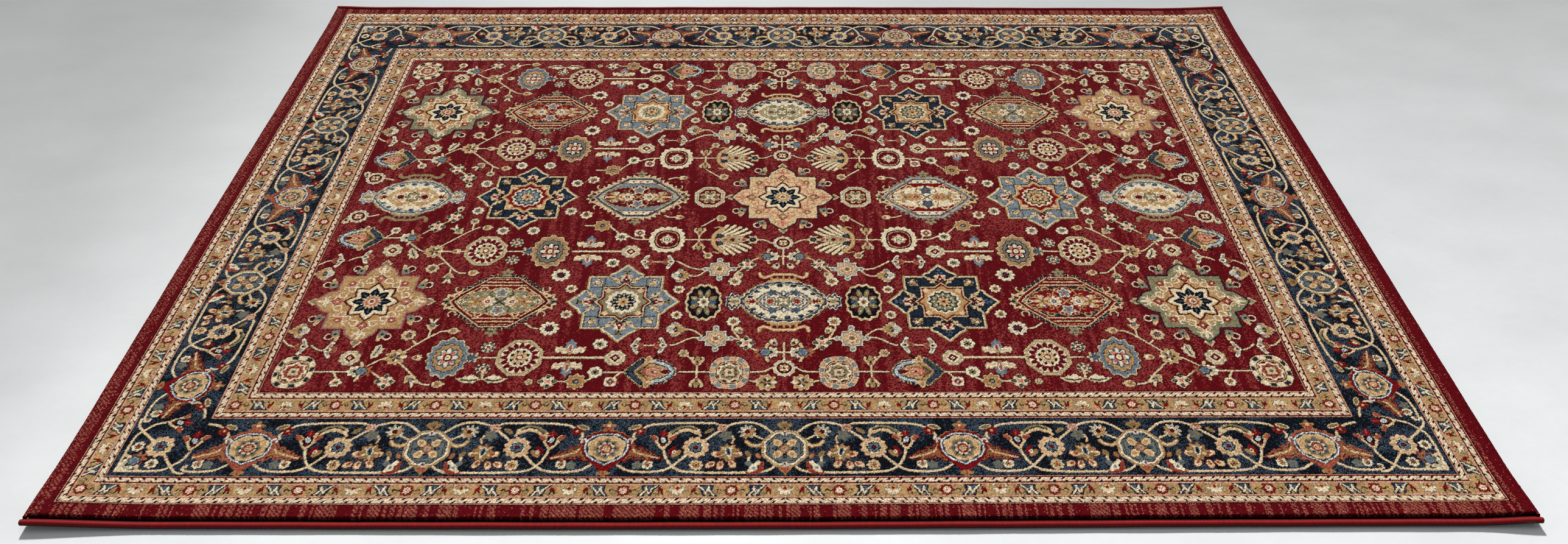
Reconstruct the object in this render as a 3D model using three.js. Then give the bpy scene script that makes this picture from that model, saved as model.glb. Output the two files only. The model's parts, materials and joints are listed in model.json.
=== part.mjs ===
// A machine-woven pile rug, built up in its real layers: back coat, woven ground, end tapes with
// their seams, serged cords along the two long sides, and the cut pile zone by zone.
// Millimetres. X runs along the length, Y from the front long side to the back one, Z up from
// the floor. The origin is the middle of the underside.

import * as THREE from "three";

// ---------------------------------------------------------------- driving dimensions

const fieldHalfLength = 1118;
const fieldHalfWidth = 677;
const innerGuardWidth = 72.5;
const mainBorderWidth = 150.5;
const outerGuardWidth = 68;
const endMarginWidth = 34;
const sideMarginWidth = 35;
const endRollWidth = 9;

const coatThickness = 0.9;
const groundThickness = 1.8;
const pileHeight = 9.7;

const sergingDiameter = 12.6;
const cordDiameter = 9;
const pileToSergingGap = 3.4;
const groundToSergingGap = 1.2;

const tapeWidth = 32;
const seamThreadDiameter = 0.7;

const clearance = 0.3;
const roundSides = 24;
const threadSides = 8;
const cornerSegments = 6;
const endRollTopRadius = 6;
const endRollFootRadius = 2;

// ---------------------------------------------------------------- worked-out dimensions

const groundBottom = coatThickness + clearance;
const pileBottom = groundBottom + groundThickness + clearance;
const rugHeight = pileBottom + pileHeight;

// Each pile zone is a rectangle or a frame around the one before it; these are the outer half sizes.
const fieldEdge = { x: fieldHalfLength, y: fieldHalfWidth };
const innerGuardEdge = grown(fieldEdge, innerGuardWidth, innerGuardWidth);
const mainBorderEdge = grown(innerGuardEdge, mainBorderWidth, mainBorderWidth);
const outerGuardEdge = grown(mainBorderEdge, outerGuardWidth, outerGuardWidth);
const marginEdge = grown(outerGuardEdge, endMarginWidth, sideMarginWidth);

const rugHalfLength = marginEdge.x + endRollWidth;
const sergingY = marginEdge.y + pileToSergingGap + sergingDiameter / 2;
const groundHalfWidth = sergingY - sergingDiameter / 2 - groundToSergingGap;

const tapeOuterX = marginEdge.x - clearance;
const tapeInnerX = tapeOuterX - tapeWidth;
const seamX = tapeInnerX - clearance - seamThreadDiameter / 2;
const coatHalfLength = seamX - seamThreadDiameter / 2 - clearance;

function grown(edge, alongX, alongY) {
  return { x: edge.x + alongX, y: edge.y + alongY };
}

// ---------------------------------------------------------------- materials

function material(color, roughness) {
  return new THREE.MeshStandardMaterial({ color, roughness, metalness: 0 });
}

const latex = material(0xb9a98a, 0.85);
const jute = material(0xa08a63, 0.95);
const cottonTape = material(0xc9bda3, 0.95);
const seamThread = material(0x7b1c22, 0.8);
const cordFibre = material(0xd8cdb4, 0.95);
const sergingYarn = material(0x8c2226, 0.8);
const redPile = material(0x6d0e18, 0.95);
const goldPile = material(0xc39d67, 0.95);
const navyPile = material(0x1d2a3d, 0.95);

// ---------------------------------------------------------------- shapes

function rectangleCorners(halfX, halfY) {
  return [[-halfX, -halfY], [halfX, -halfY], [halfX, halfY], [-halfX, halfY]]
    .map(([x, y]) => new THREE.Vector2(x, y));
}

// Moves every side of a convex anticlockwise outline inwards by the same distance.
function insetOutline(corners, distance) {
  const count = corners.length;
  const sides = corners.map((corner, index) => {
    const direction = corners[(index + 1) % count].clone().sub(corner).normalize();
    const inward = new THREE.Vector2(-direction.y, direction.x);
    return { point: corner.clone().addScaledVector(inward, distance), direction };
  });
  return sides.map((side, index) => {
    const previous = sides[(index + count - 1) % count];
    const offset = side.point.clone().sub(previous.point);
    const along = offset.cross(side.direction) / previous.direction.cross(side.direction);
    return previous.point.clone().addScaledVector(previous.direction, along);
  });
}

function slab(corners, bottom, thickness) {
  const geometry = new THREE.ExtrudeGeometry(new THREE.Shape(corners), {
    depth: thickness,
    bevelEnabled: false,
  });
  return geometry.translate(0, 0, bottom);
}

// The four mitred strips of the frame between two concentric rectangles.
function frameStrips(inner, outer) {
  const innerCorners = rectangleCorners(inner.x, inner.y);
  const outerCorners = rectangleCorners(outer.x, outer.y);
  return ["front", "right", "back", "left"].map((side, index) => {
    const next = (index + 1) % 4;
    const corners = [outerCorners[index], outerCorners[next], innerCorners[next], innerCorners[index]];
    return { side, corners: insetOutline(corners, clearance / 2) };
  });
}

function pileSlab(corners) {
  return slab(corners, pileBottom, pileHeight);
}

function cordGeometry() {
  const radius = cordDiameter / 2;
  return new THREE.CylinderGeometry(radius, radius, 2 * rugHalfLength, roundSides).rotateZ(Math.PI / 2);
}

function seamGeometry() {
  const radius = seamThreadDiameter / 2;
  return new THREE.CylinderGeometry(radius, radius, 2 * marginEdge.y, threadSides);
}

// The overcast yarn as one sleeve around the cord, open at both ends.
function sergingGeometry() {
  const section = new THREE.Shape();
  section.absarc(0, 0, sergingDiameter / 2, 0, 2 * Math.PI, false);
  const bore = new THREE.Path();
  bore.absarc(0, 0, cordDiameter / 2 + clearance, 0, 2 * Math.PI, true);
  section.holes.push(bore);
  const sleeve = new THREE.ExtrudeGeometry(section, {
    depth: 2 * rugHalfLength,
    bevelEnabled: false,
    curveSegments: roundSides,
  });
  return sleeve.translate(0, 0, -rugHalfLength).rotateY(Math.PI / 2);
}

// The pile that turns down over the folded end of the ground, as far as the floor.
function endRollGeometry() {
  const width = endRollWidth - clearance;
  const footCentreX = width - endRollFootRadius;
  const topCentreX = width - endRollTopRadius;
  const topCentreZ = rugHeight - endRollTopRadius;
  const section = new THREE.Shape();
  section.moveTo(0, 0);
  section.lineTo(footCentreX, 0);
  section.absarc(footCentreX, endRollFootRadius, endRollFootRadius, -Math.PI / 2, 0, false);
  section.absarc(topCentreX, topCentreZ, endRollTopRadius, 0, Math.PI / 2, false);
  section.lineTo(0, rugHeight);
  const roll = new THREE.ExtrudeGeometry(section, {
    depth: 2 * marginEdge.y,
    bevelEnabled: false,
    curveSegments: cornerSegments,
  });
  // The section is drawn in X and height, so the extrusion is turned to run along Y.
  return roll.translate(marginEdge.x + clearance, 0, -marginEdge.y).rotateX(Math.PI / 2);
}

// ---------------------------------------------------------------- assembly

const group = new THREE.Group();

function add(name, geometry, surface, position = [0, 0, 0], turnZ = 0) {
  const mesh = new THREE.Mesh(geometry, surface);
  mesh.name = name;
  mesh.position.set(...position);
  mesh.rotation.z = turnZ;
  group.add(mesh);
}

function addFrame(name, inner, outer, surface) {
  for (const { side, corners } of frameStrips(inner, outer)) {
    add(`${name}_${side}`, pileSlab(corners), surface);
  }
}

add("back_coat", slab(rectangleCorners(coatHalfLength, marginEdge.y), 0, coatThickness), latex);
add(
  "woven_ground",
  slab(rectangleCorners(marginEdge.x, groundHalfWidth), groundBottom, groundThickness),
  jute,
);

const ends = [["left", -1], ["right", 1]];
for (const [end, sign] of ends) {
  const turn = sign > 0 ? 0 : Math.PI;
  const tapeMiddleX = sign * (tapeInnerX + tapeWidth / 2);
  const tape = slab(rectangleCorners(tapeWidth / 2, marginEdge.y), 0, coatThickness);
  add(`end_tape_${end}`, tape, cottonTape, [tapeMiddleX, 0, 0]);
  add(`tape_seam_${end}`, seamGeometry(), seamThread, [sign * seamX, 0, coatThickness / 2]);
  add(`end_roll_pile_${end}`, endRollGeometry(), redPile, [0, 0, 0], turn);
}

const longSides = [["front", -1], ["back", 1]];
for (const [side, sign] of longSides) {
  const position = [0, sign * sergingY, sergingDiameter / 2];
  add(`edge_cord_${side}`, cordGeometry(), cordFibre, position);
  add(`serging_${side}`, sergingGeometry(), sergingYarn, position);
}

const fieldCorners = insetOutline(rectangleCorners(fieldEdge.x, fieldEdge.y), clearance / 2);
add("field_pile", pileSlab(fieldCorners), redPile);
addFrame("inner_guard_pile", fieldEdge, innerGuardEdge, goldPile);
addFrame("main_border_pile", innerGuardEdge, mainBorderEdge, navyPile);
addFrame("outer_guard_pile", mainBorderEdge, outerGuardEdge, goldPile);
addFrame("margin_pile", outerGuardEdge, marginEdge, redPile);

export default group;
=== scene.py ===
"""The looks of the woven pile rug: the pile tuft by tuft in its pattern, the ground, back coat,
tapes and seams, and the serged cords along the long sides.

The pattern is drawn first, on a point paper that holds one yarn for every tuft. Its places and
sizes are in millimetres. The pile's surface then takes its heights and colours from that paper."""

import json
import math
from functools import partial

import bpy
import numpy as np
from mathutils import Matrix, Vector

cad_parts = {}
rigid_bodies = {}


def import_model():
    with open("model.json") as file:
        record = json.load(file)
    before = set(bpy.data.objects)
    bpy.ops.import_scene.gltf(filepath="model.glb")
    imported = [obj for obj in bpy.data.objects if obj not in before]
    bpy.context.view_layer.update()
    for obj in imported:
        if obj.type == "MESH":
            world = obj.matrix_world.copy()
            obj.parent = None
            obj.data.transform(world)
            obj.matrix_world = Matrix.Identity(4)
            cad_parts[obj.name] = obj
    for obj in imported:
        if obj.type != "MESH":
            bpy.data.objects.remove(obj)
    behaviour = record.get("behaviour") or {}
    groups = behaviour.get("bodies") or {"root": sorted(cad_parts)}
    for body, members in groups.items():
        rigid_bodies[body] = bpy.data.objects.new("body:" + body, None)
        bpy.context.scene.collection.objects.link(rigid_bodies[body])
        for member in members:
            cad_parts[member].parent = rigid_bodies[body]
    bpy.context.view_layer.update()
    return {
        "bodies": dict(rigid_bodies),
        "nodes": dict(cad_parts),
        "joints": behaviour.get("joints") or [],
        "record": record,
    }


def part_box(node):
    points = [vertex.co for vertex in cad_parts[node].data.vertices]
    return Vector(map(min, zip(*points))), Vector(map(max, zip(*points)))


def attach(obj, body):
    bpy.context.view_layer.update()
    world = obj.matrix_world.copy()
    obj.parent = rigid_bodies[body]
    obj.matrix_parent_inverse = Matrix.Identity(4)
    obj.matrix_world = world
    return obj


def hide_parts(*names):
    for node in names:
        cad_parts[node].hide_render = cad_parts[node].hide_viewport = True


MM = 0.001


# ---------------------------------------------------------------- yarns

YARNS = {
    # Name: sRGB colour of the dyed yarn, 0 to 255.
    "wine": (96, 4, 14),
    "fleck": (146, 58, 54),
    "tan": (178, 104, 86),
    "red": (132, 16, 20),
    "rose": (206, 124, 106),
    "blush": (222, 168, 140),
    "rust": (166, 88, 64),
    "ivory": (242, 224, 192),
    "cream": (228, 196, 152),
    "gold": (192, 152, 102),
    "camel": (172, 124, 76),
    "sage": (146, 138, 106),
    "olive": (118, 106, 70),
    "pewter": (112, 114, 106),
    "steel": (130, 140, 144),
    "slate": (84, 100, 116),
    "navy": (34, 48, 64),
    "ink": (8, 9, 16),
    "white": (232, 230, 222),
    # Grounds, which are mixed from several yarns once the motifs are drawn.
    "field": (96, 4, 14),
    "night": (8, 9, 16),
    "straw": (192, 152, 102),
}
NAMES = list(YARNS)
YARN = {name: number for number, name in enumerate(NAMES)}


# ---------------------------------------------------------------- shapes: distances in mm, negative inside


FAR = 99  # outside every shape


def disc(u, v, radius):
    return np.hypot(u, v) - radius


def ellipse(u, v, half_u, half_v):
    return (np.hypot(u / half_u, v / half_v) - 1) * min(half_u, half_v)


def cushion(u, v, half_u, half_v, power):
    """Between an ellipse and a rectangle."""
    reach = (abs(u / half_u) ** power + abs(v / half_v) ** power) ** (1 / power)
    return (reach - 1) * min(half_u, half_v)


def block(u, v, half_u, half_v):
    return np.maximum(abs(u) - half_u, abs(v) - half_v)


def diamond(u, v, reach_u, reach_v=None):
    reach_v = reach_v or reach_u
    slope = math.hypot(1 / reach_u, 1 / reach_v)
    return (abs(u) / reach_u + abs(v) / reach_v - 1) / slope


def bearing(u, v, turn=0.0):
    return np.arctan2(v, u) - math.radians(turn)


def lobed(u, v, radius, lobes, depth, turn=0.0):
    return np.hypot(u, v) - radius * (1 + depth * np.cos(lobes * bearing(u, v, turn)))


def spiked(u, v, inner, outer, spikes):
    """A star whose outline runs straight from each point to the notch between two points."""
    wave = abs((bearing(u, v) * spikes / math.pi + 1) % 2 - 1)
    return np.hypot(u, v) - (outer + (inner - outer) * wave)


def petals(u, v, count, inner, outer, width, turn=0.0):
    """A ring of separate oval petals."""
    sector = 2 * math.pi / count
    angle = (bearing(u, v, turn) + sector / 2) % sector - sector / 2
    radius = np.hypot(u, v)
    along = radius * np.cos(angle) - (inner + outer) / 2
    return ellipse(along, radius * np.sin(angle), (outer - inner) / 2, width / 2)


def trail(u, v, points):
    """Distance to an open line through the points."""
    nearest = np.full(u.shape, np.inf)
    for (u0, v0), (u1, v1) in zip(points, points[1:]):
        du, dv = u1 - u0, v1 - v0
        share = ((u - u0) * du + (v - v0) * dv) / (du * du + dv * dv)
        share = np.clip(share, 0, 1)
        nearest = np.minimum(nearest, np.hypot(u - u0 - share * du, v - v0 - share * dv))
    return nearest


def rounded(points):
    """The points of a bent line with its corners cut twice, so that it curves."""
    for _ in range(2):
        cut = [points[0]]
        for (u0, v0), (u1, v1) in zip(points, points[1:]):
            cut.append((0.75 * u0 + 0.25 * u1, 0.75 * v0 + 0.25 * v1))
            cut.append((0.25 * u0 + 0.75 * u1, 0.25 * v0 + 0.75 * v1))
        points = [*cut, points[-1]]
    return points


def enclosed(u, v, corners):
    inside = np.zeros(u.shape, bool)
    for (u0, v0), (u1, v1) in zip(corners, [*corners[1:], corners[0]]):
        if v0 == v1:
            continue
        crossing = u0 + (v - v0) * (u1 - u0) / (v1 - v0)
        inside ^= ((v0 > v) != (v1 > v)) & (u < crossing)
    return inside


def outline(u, v, points):
    """An outline drawn between two mirror lines that meet at the origin."""
    inside = enclosed(u, v, [(0, 0), *points])
    return np.where(inside, -1, 1) * trail(u, v, points)


def polygon(u, v, corners):
    inside = enclosed(u, v, corners)
    return np.where(inside, -1, 1) * trail(u, v, [*corners, corners[0]])


def line(distance, width):
    """A band that follows the edge of a shape."""
    return abs(distance) - width / 2


def folded(u, v):
    return abs(u), abs(v)


def folded_twice(u, v):
    u, v = abs(u), abs(v)
    return np.maximum(u, v), np.minimum(u, v)


def turned(u, v, degrees):
    c, s = math.cos(math.radians(degrees)), math.sin(math.radians(degrees))
    return u * c + v * s, v * c - u * s


def curl(u, v, radius, width, opening=0.0):
    """Three quarters of a ring, open towards one bearing."""
    gap = abs((bearing(u, v, opening) + math.pi) % (2 * math.pi) - math.pi) < 0.7
    return np.where(gap, FAR, line(disc(u, v, radius), width))


# ---------------------------------------------------------------- point paper

RAGGED = 0.55  # how far a tuft's yarn may stray from the drawn line, mm


class Pen:
    """Sets yarns in a window of the point paper, which has its own coordinates in millimetres."""

    def __init__(self, tufts, u, v, odd):
        self.tufts = tufts
        self.u = u
        self.v = v
        self.odd = odd

    def fill(self, distance, yarn):
        self.tufts[distance < 0] = YARN[yarn]

    def dots(self, distance, yarn):
        """Every other tuft."""
        self.tufts[(distance < 0) & self.odd] = YARN[yarn]

    def nest(self, distance, *layers):
        """One shape inside another: how far inside the outline each begins, and its yarn."""
        for inset, yarn in layers:
            self.fill(distance + inset, yarn)

    def stack(self, shape, u, v, *layers):
        """Shapes of one kind on one another: the numbers and the yarn of each."""
        for *numbers, yarn in layers:
            self.fill(shape(u, v, *numbers), yarn)

    def moved(self, u, v, turn=0.0):
        """The same window with its origin moved and its axes turned."""
        return Pen(self.tufts, *turned(self.u - u, self.v - v, turn), self.odd)

    def folded_twice(self):
        return Pen(self.tufts, *folded_twice(self.u, self.v), self.odd)


class Paper:
    """The weaver's point paper: the yarn number of every tuft of the rug."""

    def __init__(self, half_length, half_width, pitch, rng):
        self.pitch = pitch
        self.columns = 2 * round(half_length / pitch) + 1
        self.rows = 2 * round(half_width / pitch) + 1
        self.x = (np.arange(self.columns) - self.columns // 2) * pitch
        self.y = (np.arange(self.rows) - self.rows // 2) * pitch
        self.tufts = np.full((self.rows, self.columns), YARN["field"], np.uint8)
        rows, columns = np.indices(self.tufts.shape)
        self.odd = (rows + columns) % 2 == 1
        self.stray_x, self.stray_y = rng.normal(0, RAGGED, (2, *self.tufts.shape))

    def window(self, x, y, reach, flip_x=1, flip_y=1):
        columns = slice(*np.searchsorted(self.x, [x - reach, x + reach]))
        rows = slice(*np.searchsorted(self.y, [y - reach, y + reach]))
        u, v = np.meshgrid(self.x[columns] - x, self.y[rows] - y)
        u = flip_x * (u + self.stray_x[rows, columns])
        v = flip_y * (v + self.stray_y[rows, columns])
        return Pen(self.tufts[rows, columns], u, v, self.odd[rows, columns])

    def mirrored(self, x, y, reach):
        """The same place in each quarter of the rug, u and v pointing away from the middle."""
        for flip_x in (-1, 1):
            for flip_y in (-1, 1):
                yield self.window(flip_x * x, flip_y * y, reach, flip_x, flip_y)


# ---------------------------------------------------------------- small motifs


def vine(pen, points, width=5.2):
    distance = trail(pen.u, pen.v, rounded(points) if len(points) > 2 else points) - width / 2
    pen.fill(distance, "cream")
    pen.dots(distance + 1, "ivory")


def daisy(pen, radius, count, petal, eye, heart):
    """A round flower: petals, a dark ring of notches, a coloured eye and its heart."""
    u, v = pen.u, pen.v
    pen.fill(petals(u, v, count, radius * 0.2, radius, 4.7 * radius / count), petal)
    pen.fill(disc(u, v, radius * 0.7), petal)
    notch = petals(u, v, count, radius * 0.55, radius * 0.95, 1.5, 180 / count)
    pen.dots(notch, "camel")
    pen.fill(spiked(u, v, radius * 0.36, radius * 0.58, count), "ink")
    pen.stack(disc, u, v, (radius * 0.36, eye), (radius * 0.2, heart))


def dark_eyed_flower(pen):
    """A scalloped pale flower with a black and steel eye."""
    u, v = pen.u, pen.v
    pen.stack(lobed, u, v, (26, 11, 0.08, "blush"), (24, 11, 0.09, "cream"))
    pen.dots(line(disc(u, v, 19), 3), "gold")
    pen.stack(lobed, u, v, (15.5, 8, 0.08, "ivory"), (14, 8, 0.1, "ink"))
    pen.fill(petals(u, v, 8, 4, 13, 5.5), "steel")
    pen.dots(petals(u, v, 8, 6, 12, 3), "navy")
    pen.stack(disc, u, v, (5.5, "ink"), (3.2, "red"))


def star_flower(pen):
    u, v = pen.u, pen.v
    pen.stack(
        petals, u, v,
        (8, 8, 25, 15, 22.5, "sage"),
        (8, 8, 23, 12, 22.5, "ivory"),
        (8, 8, 22, 8, 0, "cream"),
    )
    pen.dots(line(disc(u, v, 17), 5), "sage")
    pen.stack(diamond, u, v, (17, "ivory"), (12.5, "wine"))
    pen.dots(line(diamond(u, v, 11), 2), "ink")
    pen.stack(diamond, u, v, (5, "ivory"), (2.5, "rose"))


def four_lobe(pen):
    """Four dark lobes with a pale one between each two."""
    u, v = pen.u, pen.v
    pen.stack(
        petals, u, v,
        (4, 3, 18, 11, 45, "cream"),
        (4, 6, 16, 7, 45, "ivory"),
        (4, 6, 22, 12, 0, "cream"),
        (4, 8, 20, 9, 0, "ink"),
        (4, 11, 18, 5, 0, "slate"),
    )
    pen.fill(disc(u, v, 8), "ivory")
    pen.fill(petals(u, v, 4, 0, 8, 4, 45), "rose")


def bud(pen, heart):
    """A small closed flower that opens along +u."""
    u, v = pen.u, pen.v
    pen.fill(outline(u, abs(v), [(15, 0), (11, 4), (12, 8), (2, 9), (-7, 5), (-11, 0)]), "cream")
    pen.fill(ellipse(u - 1, v, 8, 4.5), "ivory")
    pen.fill(diamond(u + 1, v, 7, 5), heart)
    pen.dots(ellipse(u + 7, v, 4, 3), "sage")


def seed_bud(pen):
    """A round bud with a split tip along +u."""
    u, v = pen.u, pen.v
    pen.fill(ellipse(u, v, 12, 10), "cream")
    pen.fill(ellipse(u - 2, v, 9, 7), "gold")
    pen.fill(petals(u - 8, v, 3, -1, 8, 5), "cream")
    pen.fill(petals(u + 2, v, 3, 0, 8, 3), "olive")
    pen.fill(ellipse(u + 2, v, 4, 2.5), "rust")


def fleur(pen):
    """Three petals curling apart along +u."""
    u, v = pen.u, pen.v
    pen.fill(trail(u, abs(v), [(-10, 2), (-2, 8), (6, 13), (12, 11)]) - 3, "cream")
    pen.fill(ellipse(u - 3, v, 14, 6), "gold")
    pen.dots(ellipse(u - 5, v, 12, 4), "sage")
    pen.fill(ellipse(u + 3, v, 5, 2.5), "navy")
    pen.fill(disc(u + 9, v, 4), "rust")


def tulip(pen):
    """Two spread petals over a calyx, opening along +u."""
    u, v = pen.u, abs(pen.v)
    pen.fill(polygon(u, v, [(0, 0), (6, 5), (22, 12), (20, 4), (12, 0)]), "cream")
    pen.fill(polygon(u, v, [(4, 2), (18, 9), (16, 4), (10, 1)]), "ivory")
    pen.fill(polygon(u, v, [(-18, 0), (-12, 7), (2, 16), (0, 10), (4, 6), (0, 0)]), "cream")
    pen.fill(polygon(u, v, [(-14, 0), (-8, 6), (-2, 11), (-4, 5), (0, 0)]), "gold")
    pen.stack(disc, u - 1, v, (6, "ink"), (4.4, "steel"))


def side_flower(pen):
    """A flower seen from the side: a serrated body along +u, a pale fan behind, a wing on each side."""
    u, v = pen.u, pen.v
    pen.fill(ellipse(u + 3, abs(v) - 16, 9, 8), "cream")
    pen.fill(petals(u + 3, abs(v) - 15, 5, 1, 9, 5), "steel")
    serration = 2.5 * np.cos(v * 1.1)
    pen.fill(diamond(u - 2, v, 24, 21) + serration, "cream")
    pen.fill(diamond(u - 2, v, 20, 17) + serration, "gold")
    pen.dots(diamond(u - 4, v, 16, 12), "camel")
    pen.fill(ellipse(u + 11, v, 11, 12) + 1.5 * np.cos(v * 1.3), "ivory")
    pen.dots(ellipse(u + 12, v, 7, 8), "steel")
    pen.stack(ellipse, u + 1, v, (5, 8, "ink"), (3, 4, "steel"))


def fan_flower(pen):
    """Petals round a dark eye, opening along +u, with a blue and white wing on each side."""
    u, v = pen.u, pen.v
    pen.fill(trail(u, abs(v), [(-6, 4), (-2, 14), (2, 21)]) - 4.5, "ivory")
    pen.fill(trail(u, abs(v), [(-4, 8), (0, 16)]) - 2.2, "steel")
    pen.stack(ellipse, u - 4, v, (13, 10, "rose"), (10, 8, "wine"))
    pen.dots(ellipse(u - 4, v, 9, 6), "camel")
    pen.stack(ellipse, u + 5, v, (9, 7, "ivory"), (5, 4, "sage"))
    pen.fill(ellipse(u + 3, v, 3, 3), "ink")


def leaf(pen):
    """A jagged leaf pointing along +u."""
    u, v = pen.u, pen.v
    above = [(-22, -3), (-12, 6), (-14, 12), (-3, 10), (0, 15), (8, 9), (14, 12)]
    below = [(25, 0), (12, -8), (0, -9), (-12, -12)]
    shape = polygon(u, v, above + below)
    pen.nest(shape, (0, "cream"), (2.2, "ivory"))
    pen.dots(shape + 4, "sage")
    pen.fill(trail(u, v, [(-16, -2), (0, 1), (14, 1)]) - 1.6, "navy")


def leaf_pair(pen):
    """Two serrated leaves spread from a stem that comes from -v."""
    u, v = abs(pen.u), pen.v
    vine(pen, [(0, -30), (0, -2)])
    above = [(2, 0), (14, 8), (16, 13), (22, 9), (34, 11), (46, 6), (58, -4)]
    below = [(44, -4), (36, -12), (32, -8), (24, -16), (12, -8)]
    shape = polygon(u, v, above + below)
    pen.nest(shape, (0, "cream"), (2.2, "ivory"))
    pen.fill(trail(u, v, [(12, 1), (26, 4), (44, 0)]) - 3, "sage")
    pen.fill(trail(u, v, [(10, 1), (26, 4), (42, 1)]) - 1.5, "navy")


def heart_flower(pen):
    """A pale fan, a blue heart and rust spikes, one behind the other along +u."""
    u, v = pen.u, pen.v
    pen.fill(trail(u, abs(v), [(-8, 8), (-2, 16), (-6, 26)]) - 3.5, "cream")
    pen.fill(spiked(u - 9, v, 9, 19, 7), "rust")
    pen.dots(spiked(u - 9, v, 7, 16, 7), "camel")
    pen.fill(lobed(u + 15, v, 15, 7, 0.14, 180), "ivory")
    pen.dots(lobed(u + 14, v, 11, 7, 0.1), "sage")
    pen.fill(disc(u + 14, v, 4), "ink")
    pen.stack(lobed, u, v, (13, 6, 0.14, "navy"), (10, 6, 0.14, "steel"))
    pen.dots(disc(u, v, 6), "slate")


def maple_flower(pen):
    """A jagged round flower with a dark heart and pale petals along +u."""
    u, v = pen.u, pen.v
    pen.stack(lobed, u, v, (22, 9, 0.13, "cream"), (19, 9, 0.14, "gold"))
    pen.fill(petals(u - 8, v, 3, 2, 17, 8), "ivory")
    pen.fill(petals(u, v, 5, 3, 13, 6, 180), "ink")
    pen.dots(petals(u, v, 5, 4, 12, 4, 180), "slate")
    pen.fill(disc(u + 1, v, 3), "camel")


def corner_fan(pen):
    """One of the small flowers that stand round a star medallion, opening along +u."""
    u, v = pen.u, pen.v
    pen.fill(polygon(u, v, [(-14, 2), (-4, 16), (10, 22), (12, 14), (2, 6)]), "cream")
    pen.fill(polygon(u, v, [(-10, 4), (-3, 13), (6, 16), (4, 10), (0, 6)]), "gold")
    pen.fill(disc(u - 8, v + 4, 9.5), "wine")
    pen.fill(curl(u - 8, v + 4, 9, 3, 160), "ivory")
    pen.fill(diamond(u - 7, v + 4, 4), "ink")
    pen.fill(lobed(u + 7, v - 1, 10, 4, 0.16), "sage")
    pen.dots(lobed(u + 8, v - 1, 8, 4, 0.16), "steel")
    pen.fill(disc(u + 5, v - 2, 3.4), "ink")


def knot(pen):
    """A small round flower of dark and pale petals in turn."""
    u, v = pen.u, pen.v
    pen.fill(lobed(u, v, 16, 8, 0.06), "cream")
    pen.stack(petals, u, v, (8, 7, 16, 7, 22.5, "ink"), (8, 9, 15, 4, 22.5, "slate"))
    pen.fill(disc(u, v, 8), "ivory")
    pen.fill(petals(u, v, 4, 0, 7, 4, 45), "red")


def square_star(pen):
    """An eight-pointed star with a steel outline and a steel tip beyond each side."""
    u, v = pen.u, pen.v
    a, b = folded_twice(u, v)
    pen.stack(ellipse, a - 33, b, (8.5, 7.5, "ivory"), (6, 5, "steel"))
    shape = np.minimum(block(u, v, 19, 19), diamond(u, v, 27))
    pen.nest(shape, (-4, "ivory"), (-1.5, "steel"), (1.5, "cream"))
    pen.dots(line(shape + 5, 2.5), "camel")
    pen.stack(lobed, u, v, (13, 8, 0.1, "rust"), (11, 8, 0.12, "ivory"), (7, 8, 0.1, "camel"))
    pen.dots(disc(u, v, 4), "ink")


def checker_rosette(pen, light="blush", dark="steel", flower="sage"):
    """A ring of coloured blocks round a wine cushion with a square flower in it."""
    u, v = pen.u, pen.v
    rim = cushion(u, v, 43, 48, 2.6)
    pen.fill(rim, "cream")
    blocks = 8 * bearing(u, v, 11)
    pen.fill(np.maximum(line(rim + 6, 9), 0.3 - np.cos(blocks)), dark)
    pen.fill(np.maximum(line(rim + 6, 9), 0.3 + np.cos(blocks)), light)
    pen.nest(rim, (13, "ink"), (15, "cream"), (17, "wine"))
    pen.stack(lobed, u, v, (26, 8, 0.09, "ivory"), (21, 8, 0.1, flower))
    pen.fill(petals(u, v, 8, 9, 20, 3, 22.5), "wine")
    pen.fill(block(u, v, 12, 12), "ink")
    pen.fill(lobed(u, v, 12, 4, 0.16, 45), "cream")
    pen.fill(disc(u, v, 4.5), "slate")


def scalloped_rosette(pen):
    u, v = pen.u, pen.v
    rim = cushion(u, v, 43, 48, 2.6)
    pen.fill(rim + 2 * np.cos(18 * bearing(u, v)), "ivory")
    pen.dots(line(rim + 7, 4), "cream")
    pen.nest(rim, (11, "ink"), (15, "blush"), (17, "wine"))
    pen.fill(petals(u, v, 8, 4, 19, 9), "cream")
    pen.dots(petals(u, v, 4, 8, 21, 9, 45), "ink")
    pen.fill(disc(u, v, 12), "ivory")
    pen.fill(line(block(u, v, 6, 6), 2.5), "slate")
    pen.fill(disc(u, v, 2.5), "red")


def ring_rosette(pen):
    u, v = pen.u, pen.v
    pen.fill(lobed(u, v, 24.5, 12, 0.05), "ivory")
    pen.dots(line(disc(u, v, 21), 3), "sage")
    pen.fill(disc(u, v, 17), "wine")
    pen.dots(line(disc(u, v, 14.5), 4), "ink")
    pen.stack(petals, u, v, (4, 1, 12, 8, "camel"), (4, 1, 12, 5, 45, "ivory"))
    pen.fill(disc(u, v, 3), "ink")


def octagon_rosette(pen):
    """An octagon whose band throws pale teeth inwards over a wine ground."""
    u, v = pen.u, pen.v
    b = v * 0.92
    shape = np.maximum(block(u, b, 50, 50), diamond(u, b, 69))
    pen.fill(shape, "cream")
    pen.dots(line(shape + 3, 3), "sage")
    pen.nest(shape, (6, "sage"), (8.5, "ivory"))
    pen.fill(petals(u, b, 16, 21, 42, 11.5), "wine")
    pen.stack(lobed, u, b, (26, 16, 0.06, "ivory"), (20, 8, 0.12, 22.5, "ink"))
    pen.fill(petals(u, b, 8, 5, 20, 9), "cream")
    pen.dots(petals(u, b, 8, 9, 17, 5), "camel")
    pen.stack(disc, u, b, (8, "wine"), (5, "ivory"))


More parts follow.
